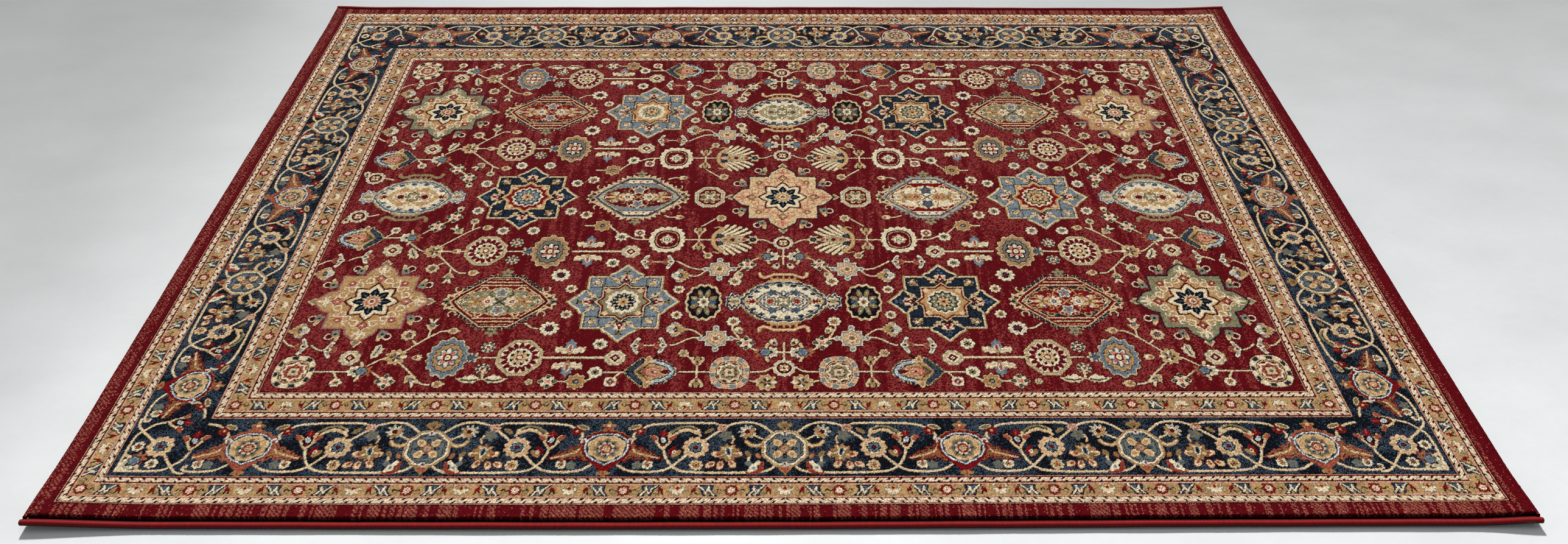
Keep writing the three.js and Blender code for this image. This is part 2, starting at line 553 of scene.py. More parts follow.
def leaf_palmette(pen, blade="steel", inner="gold"):
    """A large flower ringed by two scalloped bands, with a small tail flower along +u."""
    u, v = pen.u, pen.v
    tail = pen.moved(56, 0)
    tail.fill(lobed(tail.u, tail.v, 13, 6, 0.3), "cream")
    tail.fill(lobed(tail.u + 4, tail.v, 11, 6, 0.3), "slate")
    angle = bearing(u, v)
    scallop = 3 * np.cos(14 * angle)
    shape = ellipse(u, v, 45, 60)
    pen.fill(shape + scallop - 2, "ink")
    pen.fill(shape + scallop, "cream")
    pen.fill(shape + scallop + 2.5, blade)
    pen.dots(line(shape + 8, 3), "slate")
    pen.fill(shape + 12 + scallop / 2, "ink")
    pen.fill(shape + 14 + scallop / 2, inner)
    pen.dots(line(shape + 18, 3), "camel")
    b = v * 0.8
    pen.fill(lobed(u, b, 24, 8, 0.1), "slate" if inner == "gold" else "ink")
    pen.stack(petals, u, b, (8, 7, 23, 9, "ivory"), (4, 6, 19, 8, 45, "rose"))
    pen.fill(lobed(u, b, 10, 8, 0.12), "wine")
    pen.stack(disc, u, b, (6, "ivory"), (2.5, "gold"))


def tulip_palmette(pen):
    """A tulip lying along +u: dark jagged base, gold throat and two serrated petals that meet at its tip."""
    u, v = pen.u, abs(pen.v)
    jag = 1.6 * np.cos(1.1 * (u + v))
    pen.fill(disc(u - 51, v, 6), "ink")
    pen.fill(trail(u, v, [(46, 2), (54, 9)]) - 3, "cream")
    base = polygon(u, v, [(-54, 0), (-44, 14), (-30, 28), (-18, 40), (-12, 30), (-24, 16), (-34, 0)])
    pen.fill(base - 3 + jag, "cream")
    pen.fill(base - 1 + jag, "ink")
    pen.dots(base + 1.5, "slate")
    pen.fill(outline(u, v, [(-36, 0), (-26, 14), (-12, 30), (-4, 36), (8, 24), (30, 14), (44, 0)]), "gold")
    pen.fill(polygon(u, v, [(-32, 0), (-16, 17), (-6, 10), (-10, 0)]), "olive")
    pen.fill(trail(u, v, [(-26, 0), (-14, 10), (-6, 22), (2, 30)]) - 1.2, "ink")
    pen.fill(trail(u, v, [(-18, 0), (-8, 8), (2, 20)]) - 1, "cream")
    pen.fill(lobed(u - 4, v * 1.5, 22, 10, 0.1), "rust")
    pen.fill(lobed(u - 6, v * 1.5, 17, 10, 0.12), "blush")
    pen.dots(lobed(u - 6, v * 1.5, 14, 10, 0.1), "rose")
    pen.fill(ellipse(u - 10, v, 8, 4), "red")
    pen.fill(ellipse(u - 12, v, 4, 2), "ivory")
    pen.fill(ellipse(u - 32, v, 9, 6), "wine")
    pen.fill(trail(u, v, [(22, 4), (32, 9), (42, 4)]) - 1.2, "cream")
    petal = trail(u, v, [(48, 3), (42, 14), (28, 24), (12, 27), (4, 32)])
    pen.fill(petal - 9 + jag, "cream")
    pen.fill(petal - 7.5 + jag, "ink")
    pen.dots(petal - 7, "slate")
    pen.fill(petal - 3.4, "white")
    pen.dots(petal - 1.6, "steel")
    pen.fill(polygon(u, v, [(-14, 28), (-10, 47), (-4, 49), (2, 38), (12, 34), (4, 26)]), "cream")
    pen.fill(polygon(u, v, [(-10, 30), (-8, 43), (-4, 44), (0, 34)]), "camel")
    pen.fill(trail(u, v, [(6, 40), (12, 47)]) - 2.6, "ink")


LOTUS_FEATHERS = [
    # Root and tip of each, from the bracket to the axis.
    ((38, 24), (22, 55)),
    ((34, 22), (4, 54)),
    ((26, 18), (-10, 48)),
    ((18, 14), (-26, 42)),
    ((8, 10), (-36, 30)),
]


def lotus(pen):
    """A lotus on its side: a gold bracket at +u, pale feathers swept back from it, a dark bud at -u."""
    u, v = pen.u, abs(pen.v)
    for root, tip in LOTUS_FEATHERS:
        bend = ((root[0] + 2 * tip[0]) / 3 + 8, (root[1] + 2 * tip[1]) / 3 - 8)
        feather = trail(u, v, rounded([root, bend, tip]))
        pen.nest(feather, (-6.4, "ink"), (-4.6, "cream"), (-2.4, "ivory"))
    body = outline(u, v, rounded([(46, 0), (36, 14), (10, 15), (-14, 12), (-34, 0)]))
    pen.nest(body, (-1.6, "ink"), (0, "cream"))
    pen.dots(body + 3, "olive")
    pen.fill(disc(u - 26, v, 4), "rust")
    pen.fill(disc(u - 8, v, 6), "wine")
    pen.stack(disc, u + 8, v, (4.5, "ivory"), (3, "navy"))
    pen.fill(disc(u + 20, v, 6), "rust")
    bracket = trail(u, v, rounded([(57, 0), (54, 22), (42, 34), (34, 44)]))
    pen.fill(bracket - 5.4, "gold")
    pen.dots(bracket - 3, "cream")
    pen.fill(trail(u, v, [(34, 44), (44, 50), (54, 46)]) - 2.4, "gold")
    pen.fill(ellipse(u - 39, v - 14, 8.5, 7.5), "ink")
    pen.dots(ellipse(u - 39, v - 14, 7, 6), "slate")
    pen.fill(diamond(u - 44, v, 9, 7), "blush")
    pen.fill(lobed(u + 41, pen.v, 15, 6, 0.16, 180), "cream")
    pen.fill(disc(u + 42, v, 8.5), "ink")
    pen.fill(disc(u + 43, v, 4), "slate")
    pen.fill(ellipse(u + 30, v - 8, 5, 4), "navy")


def stem_palmette(pen):
    """A palmette beside a stem, pointing along +u, with two serrated wings at its foot."""
    u, v = pen.u, abs(pen.v)
    outer = [(-18, 4), (-20, 16), (-14, 20), (-18, 28), (-8, 34)]
    inner = [(4, 33), (0, 26), (4, 20), (-2, 14), (-2, 7)]
    shape = polygon(u, v, outer + inner)
    pen.nest(shape, (-1.2, "ink"), (0, "cream"), (2.5, "ivory"))
    pen.dots(trail(u, v, [(-10, 10), (-8, 26)]) - 2, "camel")
    blade = outline(u, v, [(28, 0), (18, 5), (14, 12), (6, 10), (2, 14), (-4, 8), (-16, 4), (-16, 0)])
    pen.fill(blade, "steel")
    pen.stack(ellipse, u + 2, v, (12, 6, "ivory"), (10, 3.5, "rust"))
    pen.fill(ellipse(u + 18, v, 5, 4), "camel")


def upright_octagon(pen):
    """A tall scalloped oval between two medallions."""
    u, v = pen.u, pen.v
    scallop = 1.8 * np.cos(14 * bearing(u * 1.4, v))
    shape = cushion(u, v, 42, 61, 2.3)
    pen.fill(shape - scallop, "cream")
    pen.fill(shape + 5 - scallop, "ink")
    b = v * 0.72
    pen.fill(petals(u, b, 8, 10, 33, 11, 22.5), "sage")
    pen.dots(petals(u, b, 8, 14, 30, 7, 22.5), "olive")
    pen.stack(
        petals, u, b, (8, 20, 27, 3, 22.5, "cream"), (4, 18, 32, 6, 45, "wine"), (2, 14, 30, 9, "slate")
    )
    pen.fill(ellipse(u, v, 15, 19), "ink")
    pen.fill(petals(u, b, 8, 3, 14, 7), "ivory")
    pen.stack(disc, u, b, (6, "sage"), (3, "red"))


def small_octagon(pen):
    u, v = pen.u, pen.v
    shape = np.maximum(block(u, v, 39, 43), diamond(u, v, 60))
    pen.fill(shape, "ivory")
    pen.dots(line(shape + 2, 3), "camel")
    pen.nest(shape, (5, "steel"), (7, "cream"), (11, "ink"), (13, "wine"))
    pen.stack(
        petals, u, v,
        (8, 6, 27, 13, 22.5, "cream"),
        (8, 13, 24, 6, 22.5, "olive"),
        (4, 8, 22, 9, "navy"),
        (4, 11, 19, 5, "sage"),
    )
    pen.fill(disc(u, v, 8), "ivory")
    pen.dots(disc(u, v, 5), "navy")


# ---------------------------------------------------------------- medallions


def flower_star(pen, ground, edge, shade, blossom, scroll="ivory", inside=None):
    """The star with square shoulders and curling vines round a smaller star."""
    a, b = folded_twice(pen.u, pen.v)
    shape = outline(a, b, [(132, 0), (126, 9), (106, 32), (88, 37), (88, 88)])
    pen.fill(diamond(a - 133, b, 16, 13), "cream")
    pen.fill(diamond(a - 134, b, 11, 8), "sage")
    pen.fill(shape - 2.5, edge)
    pen.dots(shape - 2.5, shade)
    pen.fill(shape + 1.5, ground)
    if inside:
        pen.nest(shape, (20, "cream"), (22, inside))
    # Scrolls that run round the star between its arms and its heart.
    curls = [(72, 22, 9, 150), (56, 42, 8, 40), (95, 12, 9, 90), (113, 7, 6, 0), (70, 44, 5, -90)]
    for centre_a, centre_b, radius, opening in curls:
        pen.fill(curl(a - centre_a, b - centre_b, radius, 3, opening), scroll)
    pen.fill(trail(a, b, [(62, 30), (66, 12), (80, 17)]) - 1.5, scroll)
    pen.fill(trail(a, b, [(64, 50), (50, 50)]) - 1.5, scroll)
    pen.fill(trail(a, b, [(100, 3), (122, 0)]) - 2.2, scroll)
    pen.dots(disc(a - 104, b - 18, 3), "sage")
    pen.dots(disc(a - 84, b - 30, 3), "sage")
    # Red flowers in the arms and the shoulders.
    pen.stack(diamond, a - 80, b, (15, 14, "wine"), (11.5, 10.5, blossom))
    pen.dots(diamond(a - 80, b, 8, 7), "wine")
    pen.fill(diamond(a - 80, b, 4, 4), "ivory")
    pen.fill(lobed(a - 61, b - 61, 10, 6, 0.2), blossom)
    pen.dots(disc(a - 62, b - 62, 9), "wine")
    pen.fill(disc(a - 62, b - 62, 3), "ivory")
    # The heart: a pale star, a dark star on it and a small flower.
    core = spiked(pen.u, pen.v, 44, 62, 8)
    pen.nest(core, (-3.5, "wine"), (0, "ink"), (2.5, "cream"), (6, "ivory"))
    dark_star = spiked(pen.u, pen.v, 29, 46, 8)
    pen.fill(dark_star, "ink")
    pen.stack(petals, pen.u, pen.v, (8, 22, 38, 4, "slate"), (8, 16, 26, 3, 22.5, "ivory"))
    pen.stack(lobed, pen.u, pen.v, (19, 8, 0.14, "cream"), (15, 8, 0.12, blossom))
    pen.fill(disc(a, b, 9), "ivory")
    pen.fill(diamond(a, b, 6), "wine")
    pen.fill(disc(a, b, 2), "gold")


def panel_star(pen, ground, edge, rim, panel, panel_line, flower, flower_edge):
    """The star whose four ogee arms stand round a square panel."""
    a, b = folded_twice(pen.u, pen.v)
    shape = outline(a, b, [(131, 0), (103, 27), (99, 36), (94, 40), (88, 42), (88, 88)])
    pen.nest(shape, (-2, edge), (1.5, rim), (4.5, ground))
    # The ogee line and its leaves.
    ogee = trail(a, b, [(62, 0), (58, 8), (66, 16), (76, 18), (76, 28), (84, 32), (88, 40)])
    pen.nest(ogee, (-3.8, "ink"), (-2.2, "cream"))
    pen.fill(disc(a - 79, b - 27, 5), "cream")
    pen.fill(disc(a - 68, b - 22, 4), "cream")
    pen.fill(trail(a, b, [(62, 14), (70, 6), (80, 14)]) - 1.2, "ink")
    # The flower in each arm.
    pen.fill(lobed(a - 82, b, 14, 6, 0.15), "cream")
    pen.fill(petals(a - 84, b, 6, 3, 13, 7), "ivory")
    pen.dots(line(disc(a - 82, b, 10), 3), "rose")
    pen.fill(diamond(a - 76, b, 11, 9), "wine")
    pen.fill(ellipse(a - 85, b, 7, 4), "red")
    pen.fill(disc(a - 78, b, 2.5), "ivory")
    pen.fill(ellipse(a - 104, b, 10, 8), "sage" if ground == "steel" else "slate")
    pen.fill(petals(a - 103, b, 3, 1, 10, 4, 180), "ink")
    # The square in each shoulder.
    corner = pen.folded_twice().moved(66, 66)
    corner.stack(block, corner.u, corner.v, (18, 18, "ink"), (16, 16, ground))
    corner.fill(lobed(corner.u, corner.v, 11, 6, 0.16), "gold" if ground == "navy" else "cream")
    corner.fill(curl(corner.u, corner.v, 8, 2.4, 225), "ink")
    corner.fill(trail(corner.u, corner.v, [(-11, -11), (3, 3)]) - 3, "ink")
    corner.fill(trail(corner.u, corner.v, [(-10, -10), (2, 2)]) - 1.8, "cream")
    corner.fill(disc(corner.u - 3, corner.v - 3, 4), "ivory")
    # The panel and its flower.
    core = np.minimum(block(a, b, 48, 48), diamond(a, b, 63))
    pen.nest(core, (-6, "ink"), (-3, "cream"), (0, panel_line), (4.5, panel))
    pen.fill(diamond(a - 38, b - 38, 9), "cream")
    pen.fill(petals(a, b, 8, 20, 42, 10), "cream")
    pen.stack(
        lobed, pen.u, pen.v, (38, 12, 0.06, "ivory"), (33, 12, 0.1, flower_edge), (28, 12, 0.1, flower)
    )
    pen.fill(petals(pen.u, pen.v, 12, 17, 27, 2.2), "ivory")
    pen.fill(lobed(pen.u, pen.v, 18, 8, 0.1), "ink")
    pen.fill(petals(pen.u, pen.v, 8, 5, 17, 7), "cream")
    pen.stack(disc, a, b, (8, "gold"), (4, "wine"))


def lozenge(pen, teeth, teeth_edge, band, ground, spandrel, scroll, blossom, bar=False):
    """The long octagon with a saw-toothed fringe and a crown at each end."""
    a, b = folded(pen.u, pen.v)
    body = outline(a, b, [(114, 0), (94, 26), (32, 81), (0, 81)])
    # Teeth along the slanted sides, growing towards the top, and the two peaks beside the top.
    along = (a - b) / 21
    saw = (9 + 3 * (b > 60)) * (2 * abs(along % 1 - 0.5))
    fringe = np.where(b > 22, body + saw, FAR)
    pen.nest(fringe, (-15, teeth_edge), (-13.5, teeth))
    # Curls and crowns at the ends, fleurs above and below.
    pen.stack(curl, a - 102, b - 42, (9, 5.4, 100, "ink"), (9, 3.6, 100, "cream"))
    pen.fill(trail(a, b, [(92, 30), (104, 26), (116, 20)]) - 3, "cream")
    pen.fill(trail(a, b, [(104, 14), (124, 24), (122, 12), (131, 8), (124, 0)]) - 2.4, "cream")
    pen.fill(ellipse(a - 118, b, 10, 8), "sage")
    pen.fill(ellipse(a - 124, b, 5, 4), "navy")
    pen.fill(petals(a, b - 100, 5, 1, 16, 9, 90), "sage")
    pen.dots(petals(a, b - 100, 5, 2, 14, 5, 90), "gold")
    pen.fill(disc(a, b - 98, 4), "slate")
    # The frame: pale line, band, pale line, and across its top either stripes or one spotted bar.
    pen.nest(body, (-3, "cream"), (0, band), (5, "ink"), (7, "cream"), (10, spandrel))
    if bar:
        top = np.maximum(body + 8, 59 - b)
        pen.nest(top, (-2.5, "ink"), (0, "ivory"))
        pen.fill(diamond((a + 9) % 18 - 9, b - 65, 4.5), "rust")
    else:
        stripes = np.maximum(body + 4, 50 - b)
        pen.fill(stripes, "wine")
        pen.fill(np.maximum(stripes, abs((b - 50) % 11 - 5.5) - 2), "cream")
    # The ground, whose edge curls into the spandrels.
    shape = outline(a, b, [(99, 0), (80, 22), (58, 36), (44, 40), (24, 42), (12, 47), (0, 48)])
    pen.fill(shape + 1.5 * np.cos(a * 0.5), scroll)
    pen.fill(curl(a - 43, b - 41, 8, 4, 250), scroll)
    pen.fill(curl(a - 70, b - 29, 5, 3, 250), scroll)
    pen.fill(shape + 2 + 1.5 * np.cos(a * 0.5), ground)
    # Flowers on the cross axes.
    on_red = ground in ("red", "wine")
    line_yarn = "gold" if on_red else "ink"
    pen.fill(trail(a, b, [(0, 0), (14, 13)]) - 1.5, line_yarn)
    pen.fill(trail(a, b, [(20, 18), (28, 24), (22, 38)]) - 1.2, line_yarn)
    pen.fill(trail(a, b, [(58, 22), (66, 14), (84, 12)]) - 1.2, line_yarn)
    fleur_yarn = "steel" if ground != "ivory" else "slate"
    pen.fill(lobed(a, b - 29, 15, 5, 0.2, 90), "ivory" if ground != "ivory" else "navy")
    pen.fill(lobed(a, b - 29, 12, 5, 0.24, 90), fleur_yarn)
    pen.fill(ellipse(a, b - 29, 3, 6), "rust")
    pen.fill(lobed(a - 28, b, 16, 8, 0.16), "ivory" if ground != "ivory" else "gold")
    pen.dots(line(disc(a - 28, b, 11), 3), "rose")
    pen.stack(disc, a - 28, b, (6, blossom), (2.5, "cream"))
    pen.fill(curl(a - 16, b - 38, 5, 2.4, 90), "cream")
    pen.fill(curl(a - 38, b - 22, 5, 2.4, 0), scroll)
    pen.fill(curl(a - 66, b - 16, 5, 2.4, 180), "cream")
    pen.fill(diamond(a - 50, b, 9, 7), "navy" if on_red else "wine")
    pen.fill(petals(a - 56, b, 5, 2, 24, 12), "camel")
    pen.fill(petals(a - 56, b, 5, 6, 22, 7), "cream" if on_red else "gold")
    pen.fill(ellipse(a - 66, b, 7, 4), "cream")
    pen.fill(disc(a - 54, b - 17, 4), "white")
    pen.fill(diamond(a - 88, b, 12, 8), "ivory")
    pen.fill(petals(a - 88, b, 4, 0, 7, 3), "ink")


def cartouche(pen, canopy, fringe, frame, comb, leafage, bloom, heart):
    """The oval shield with a scrolled canopy above and below and a palmette at each end."""
    a, b = folded(pen.u, pen.v)
    body = outline(a, b, rounded([(100, 0), (84, 26), (60, 50), (34, 63), (0, 64)]))
    # The fringe of fine teeth on the slanted sides.
    teeth = 2 * np.cos((a - b) * 0.9)
    fringe_shape = np.where(b < 62, body + teeth, FAR)
    pen.fill(fringe_shape - 9, fringe)
    pen.dots(fringe_shape - 9, "cream")
    pen.dots(line(fringe_shape - 7, 2), "ink")
    # Canopies: a scrolled pale line over a band, with red spikes between them.
    pen.fill(polygon(a, b, [(-1, 60), (44, 60), (38, 72), (22, 79), (-1, 80)]), canopy)
    pen.dots(polygon(a, b, [(-1, 64), (40, 64), (20, 76), (-1, 77)]), "cream")
    arch = trail(a, b, [(0, 94), (22, 94), (34, 87), (46, 82), (55, 88), (56, 98)])
    between = np.maximum(arch - 12, 70 - b)
    pen.fill(np.maximum(between, b - 90), "wine")
    for spike_u in (0, 14, 28):
        pen.fill(diamond(a - spike_u, b - 83 + spike_u * 0.12, 3.2, 8), canopy)
    pen.fill(arch - 4.6, "camel")
    pen.fill(arch - 3.2, canopy if canopy != "gold" else "cream")
    # End palmettes.
    end = polygon(a, b, [(90, 0), (100, 8), (108, 22), (114, 14), (120, 26), (126, 12), (132, 14), (130, 0)])
    pen.nest(end, (-3.2, "white"), (-1, frame), (2.5, "cream"))
    pen.fill(ellipse(a - 116, b, 9, 6), "sage")
    pen.dots(ellipse(a - 116, b, 6, 4), "steel")
    # The shield, with leaves that point inwards from its frame.
    scallop = 2 * np.cos(24 * bearing(pen.u, pen.v * 1.5))
    pen.fill(body - 5 + scallop, "ivory")
    pen.fill(body - 3 + scallop, frame)
    pen.fill(line(body + 1, 3), "slate")
    pen.fill(body + 3.5, "ivory")
    leaf_wave = np.cos(16 * bearing(pen.u, pen.v * 1.5, 6))
    leaves = np.maximum(line(body + 10, 11), 0.25 - leaf_wave)
    pen.fill(np.maximum(leaves, a - 84), comb)
    pen.fill(np.maximum(line(body + 12, 4), 0.7 - leaf_wave), "slate")
    pen.fill(np.maximum(line(body + 7, 3), 0.3 + leaf_wave), comb)
    # The bunch of flowers in the middle, joined by leaves.
    spray_line = trail(a, b, rounded([(0, 12), (14, 28), (30, 30), (46, 22), (58, 6)]))
    pen.fill(spray_line - 5.5 - 1.5 * np.cos(a * 0.7), leafage)
    pen.fill(spray_line - 1.4, "cream")
    pen.fill(lobed(a - 27, b - 30, 10, 5, 0.2), leafage)
    pen.fill(ellipse(a, b - 26, 7, 12), leafage)
    pen.fill(ellipse(a, b - 28, 3, 6), "ivory")
    pen.stack(
        lobed, a - 31, b,
        (16, 7, 0.14, 180, leafage),
        (12, 7, 0.14, 180, "ivory"),
        (9.5, 7, 0.16, 180, bloom),
    )
    pen.fill(curl(a - 30, b, 4, 2.6, 180), "wine")
    pen.fill(lobed(a, b, 18, 8, 0.14), "ink")
    pen.stack(petals, pen.u, pen.v, (8, 3, 18, 9, heart), (4, 3, 14, 6, 45, "ivory"))
    pen.fill(diamond(a, b, 6), "ivory")
    pen.fill(disc(a, b, 2.5), "rust")
    pen.fill(ellipse(a - 62, b, 8, 5), "gold")
    # Flowers towards the ends.
    pen.stack(disc, a - 84, b, (10, "gold"), (7, "cream"))
    pen.fill(polygon(a, b, [(66, 0), (72, 10), (74, 4), (80, 9), (80, 0)]), "red")
    pen.fill(diamond(a - 84, b, 3.5, 3.5), "ink")


# ---------------------------------------------------------------- where the field's vines and motifs stand

FIELD_VINES = [
    # Each line runs through points in mm from the middle of the rug, and stands in all four quarters.
    [(1020, 617), (934, 617)],
    [(978, 617), (964, 640)],
    [(909, 600), (882, 577), (868, 575)],
    [(841, 558), (816, 532), (777, 494), (760, 492)],
    [(797, 510), (797, 487)],
    [(818, 534), (829, 523)],
    [(843, 589), (816, 616), (802, 630), (784, 653), (762, 656)],
    [(902, 612), (870, 637)],
    [(1117, 521), (1102, 537), (1088, 541)],
    [(1050, 537), (1034, 551), (1022, 553)],
    [(661, 575), (631, 575)],
    [(588, 467), (570, 483), (558, 484)],
    [(397, 619), (338, 619)],
    [(356, 620), (372, 641)],
    [(404, 628), (432, 646)],
    [(488, 646), (470, 646)],
    [(228, 618), (162, 618)],
    [(203, 580), (222, 562)],
    [(190, 592), (190, 643)],
    [(74, 618), (42, 618), (26, 605)],
    [(74, 644), (60, 648)],
    [(181, 515), (210, 512), (239, 534), (253, 537)],
    [(285, 537), (296, 537), (314, 538)],
    [(185, 507), (208, 487), (225, 487)],
    [(121, 514), (99, 519)],
    [(99, 519), (117, 487), (117, 477)],
    [(75, 545), (60, 555)],
    [(20, 559), (0, 559)],
    [(0, 530), (0, 585)],
    [(1117, 266), (1098, 250), (1088, 250)],
    [(1048, 249), (1034, 239), (1022, 237)],
    [(991, 165), (941, 165)],
    [(982, 160), (966, 144)],
    [(895, 148), (870, 123), (841, 98)],
    [(915, 187), (884, 216), (870, 215)],
    [(841, 198), (777, 134), (760, 125)],
    [(776, 131), (776, 108)],
    [(838, 230), (797, 276), (777, 296), (760, 296)],
    [(818, 259), (829, 265)],
    [(797, 276), (797, 296)],
    [(829, 216), (778, 216)],
    [(677, 216), (620, 216)],
    [(496, 117), (476, 117)],
    [(431, 123), (406, 151)],
    [(385, 158), (364, 171), (330, 171)],
    [(349, 158), (344, 169)],
    [(244, 172), (171, 172)],
    [(203, 119), (172, 91)],
    [(208, 148), (208, 188)],
    [(197, 215), (187, 226)],
    [(62, 172), (46, 172), (29, 185)],
    [(300, 77), (286, 84), (268, 83)],
    [(317, 255), (295, 255)],
    [(256, 253), (217, 282), (185, 282)],
    [(224, 307), (203, 307), (185, 287)],
    [(119, 281), (103, 271)],
    [(99, 280), (117, 301), (117, 312)],
    [(75, 250), (60, 240)],
    [(18, 235), (0, 235)],
    [(0, 205), (0, 265)],
    [(1047, 80), (1025, 73)],
]
FIELD_STEMS = [[(531, 575), (394, 575)], [(513, 216), (394, 216)]]
VINE_WIDTH = 4.4
STEM_WIDTH = 6.5


def draw_field_vines(paper):
    lines = [(points, VINE_WIDTH) for points in FIELD_VINES]
    lines += [(points, STEM_WIDTH) for points in FIELD_STEMS]
    for points, width in lines:
        xs, ys = zip(*points)
        middle_x = (min(xs) + max(xs)) / 2
        middle_y = (min(ys) + max(ys)) / 2
        reach = max(max(xs) - min(xs), max(ys) - min(ys)) / 2 + 8
        local = [(x - middle_x, y - middle_y) for x, y in points]
        for pen in paper.mirrored(middle_x, middle_y, reach):
            vine(pen, local, width)


DAISIES = [
    # Place, radius, number of petals, yarns of the petals, the eye and the heart.
    (964, 649, 13, 6, "ivory", "gold", "red"),
    (843, 505, 17, 8, "cream", "slate", "rust"),
    (531, 484, 23, 10, "ivory", "navy", "red"),
    (531, 303, 23, 10, "ivory", "navy", "red"),
    (499, 351, 14, 8, "ivory", "camel", "red"),
    (499, 438, 14, 8, "ivory", "camel", "red"),
    (246, 354, 14, 8, "ivory", "camel", "red"),
    (246, 440, 14, 8, "ivory", "camel", "red"),
    (410, 533, 17, 7, "ivory", "sage", "ink"),
    (411, 619, 17, 7, "ivory", "sage", "ink"),
    (550, 647, 9, 5, "cream", "sage", "ivory"),
    (222, 562, 12, 6, "cream", "gold", "slate"),
    (115, 462, 16, 8, "ivory", "camel", "rust"),
    (681, 575, 9, 6, "cream", "navy", "sage"),
    (966, 136, 13, 6, "ivory", "gold", "red"),
    (777, 57, 16, 8, "ivory", "steel", "rust"),
    (699, 137, 16, 8, "ivory", "steel", "rust"),
    (623, 137, 16, 8, "ivory", "steel", "rust"),
    (776, 100, 12, 7, "cream", "steel", "navy"),
    (842, 279, 17, 8, "cream", "slate", "rust"),
    (540, 59, 16, 8, "ivory", "sage", "navy"),
    (499, 74, 16, 7, "ivory", "camel", "red"),
    (401, 161, 17, 8, "ivory", "sage", "ink"),
    (412, 259, 17, 7, "ivory", "sage", "ink"),
    (156, 87, 14, 7, "cream", "gold", "slate"),
    (183, 232, 12, 6, "cream", "gold", "slate"),
    (115, 326, 16, 8, "ivory", "camel", "rust"),
]


def draw_daisies(paper):
    for x, y, *choices in DAISIES:
        for pen in paper.mirrored(x, y, 30):
            daisy(pen, *choices)


def pointed_flower(pen):
    """A scalloped gold flower with a dark heart."""
    u, v = pen.u, pen.v
    pen.stack(lobed, u, v, (21, 8, 0.12, "cream"), (18, 8, 0.14, "camel"))
    pen.fill(petals(u, v, 8, 4, 14, 5), "gold")
    pen.stack(disc, u, v, (7, "ink"), (4, "steel"))


def tile_flower(pen):
    """A small cream square with a dark diamond in it."""
    u, v = pen.u, pen.v
    pen.fill(cushion(u, v, 13, 13, 4), "ivory")
    pen.stack(diamond, u, v, (12, "rose"), (8, "navy"))
    pen.fill(disc(u, v, 3), "cream")


FIELD_MOTIFS = [
    # Motif, how far its window reaches, and each place: x, y and the way it points if that isn't 0.
    (star_flower, 32, [(954, 576), (954, 212), (372, 576), (372, 217)]),
    (four_lobe, 26, [(859, 646), (867, 121), (831, 83), (85, 530), (87, 266), (510, 646)]),
    (fan_flower, 28, [(1070, 541), (1006, 551, 180), (1009, 237, 180), (1074, 250)]),
    (fan_flower, 28, [(274, 537), (328, 539, 180), (276, 255), (331, 255, 180)]),
    (side_flower, 34, [(1091, 491), (1093, 298), (244, 487, 180), (244, 305, 180)]),
    (leaf, 32, [(900, 555, 70), (900, 226, -70)]),
    (heart_flower, 36, [(918, 616, 180), (918, 164, 180), (42, 559), (40, 235)]),
    (maple_flower, 30, [(854, 573, 180), (852, 216, 180), (39, 649, 180)]),
    (tulip, 30, [(797, 473, -90), (797, 311, 90), (806, 641, 135), (811, 136, -45)]),
    (seed_bud, 20, [(745, 492, 180), (745, 654, 180), (741, 295, 180), (740, 125, 180)]),
    (fleur, 26, [(190, 587, -90), (190, 648, 90), (208, 141, -90), (208, 194, 90)]),
    (partial(bud, heart="rust"), 22, [(809, 575, 180), (799, 216, 180), (260, 83)]),
    (partial(bud, heart="navy"), 22, [(22, 530, -60), (16, 268, 60), (822, 53, -90), (1102, 96, 90)]),
    (partial(bud, heart="olive"), 22, [(100, 492, -60), (104, 302, 60)]),
    (knot, 22, [(656, 543), (656, 609), (656, 184), (656, 248)]),
    (pointed_flower, 28, [(449, 646), (453, 117)]),
    (tile_flower, 20, [(375, 647), (357, 146)]),
    (square_star, 48, [(153, 516), (153, 282)]),
    (ring_rosette, 34, [(1075, 80)]),
    (leaf_pair, 70, [(653, 640)]),
    (stem_palmette, 42, [(474, 544, -90), (474, 607, 90), (474, 182, -90), (474, 248, 90)]),
    (partial(checker_rosette, light="ivory", dark="navy", flower="rust"), 70, [(1064, 617.5)]),
    (checker_rosette, 70, [(119, 620)]),
    (scalloped_rosette, 70, [(287, 171)]),
    (ring_rosette, 30, [(0, 607), (0, 184)]),
    (octagon_rosette, 70, [(582, 575), (727, 214)]),
    (leaf_palmette, 80, [(740, 575, 180)]),
    (partial(leaf_palmette, blade="gold", inner="pewter"), 80, [(570, 216)]),
    (tulip_palmette, 70, [(292, 617.5, 180), (1043, 166)]),
    (lotus, 74, [(117, 172)]),
    (upright_octagon, 70, [(186, 397)]),
    (small_octagon, 70, [(189, 0)]),
]


def draw_field_motifs(paper):
    """Each motif in each quarter of the rug; turn 0 points it away from the middle along the length."""
    for motif, reach, places in FIELD_MOTIFS:
        for x, y, *turn in places:
            for pen in paper.mirrored(x, y, reach):
                motif(pen.moved(0, 0, *turn))


def draw_corner_fans(paper):
    """The small flowers round each star with square shoulders."""
    spots = [(110, 57, 30), (57, 110, 60)]
    for centre_x, centre_y in [(955, 395), (0, 0)]:
        quarters = [(1, 1)] if centre_x == 0 else [(1, 1), (-1, 1), (-1, -1), (1, -1)]
        for flip_x, flip_y in quarters:
            for x, y, turn in spots:
                for pen in paper.mirrored(centre_x + flip_x * x, centre_y + flip_y * y, 26):
                    corner_fan(Pen(pen.tufts, flip_x * pen.u, flip_y * pen.v, pen.odd).moved(0, 0, turn))


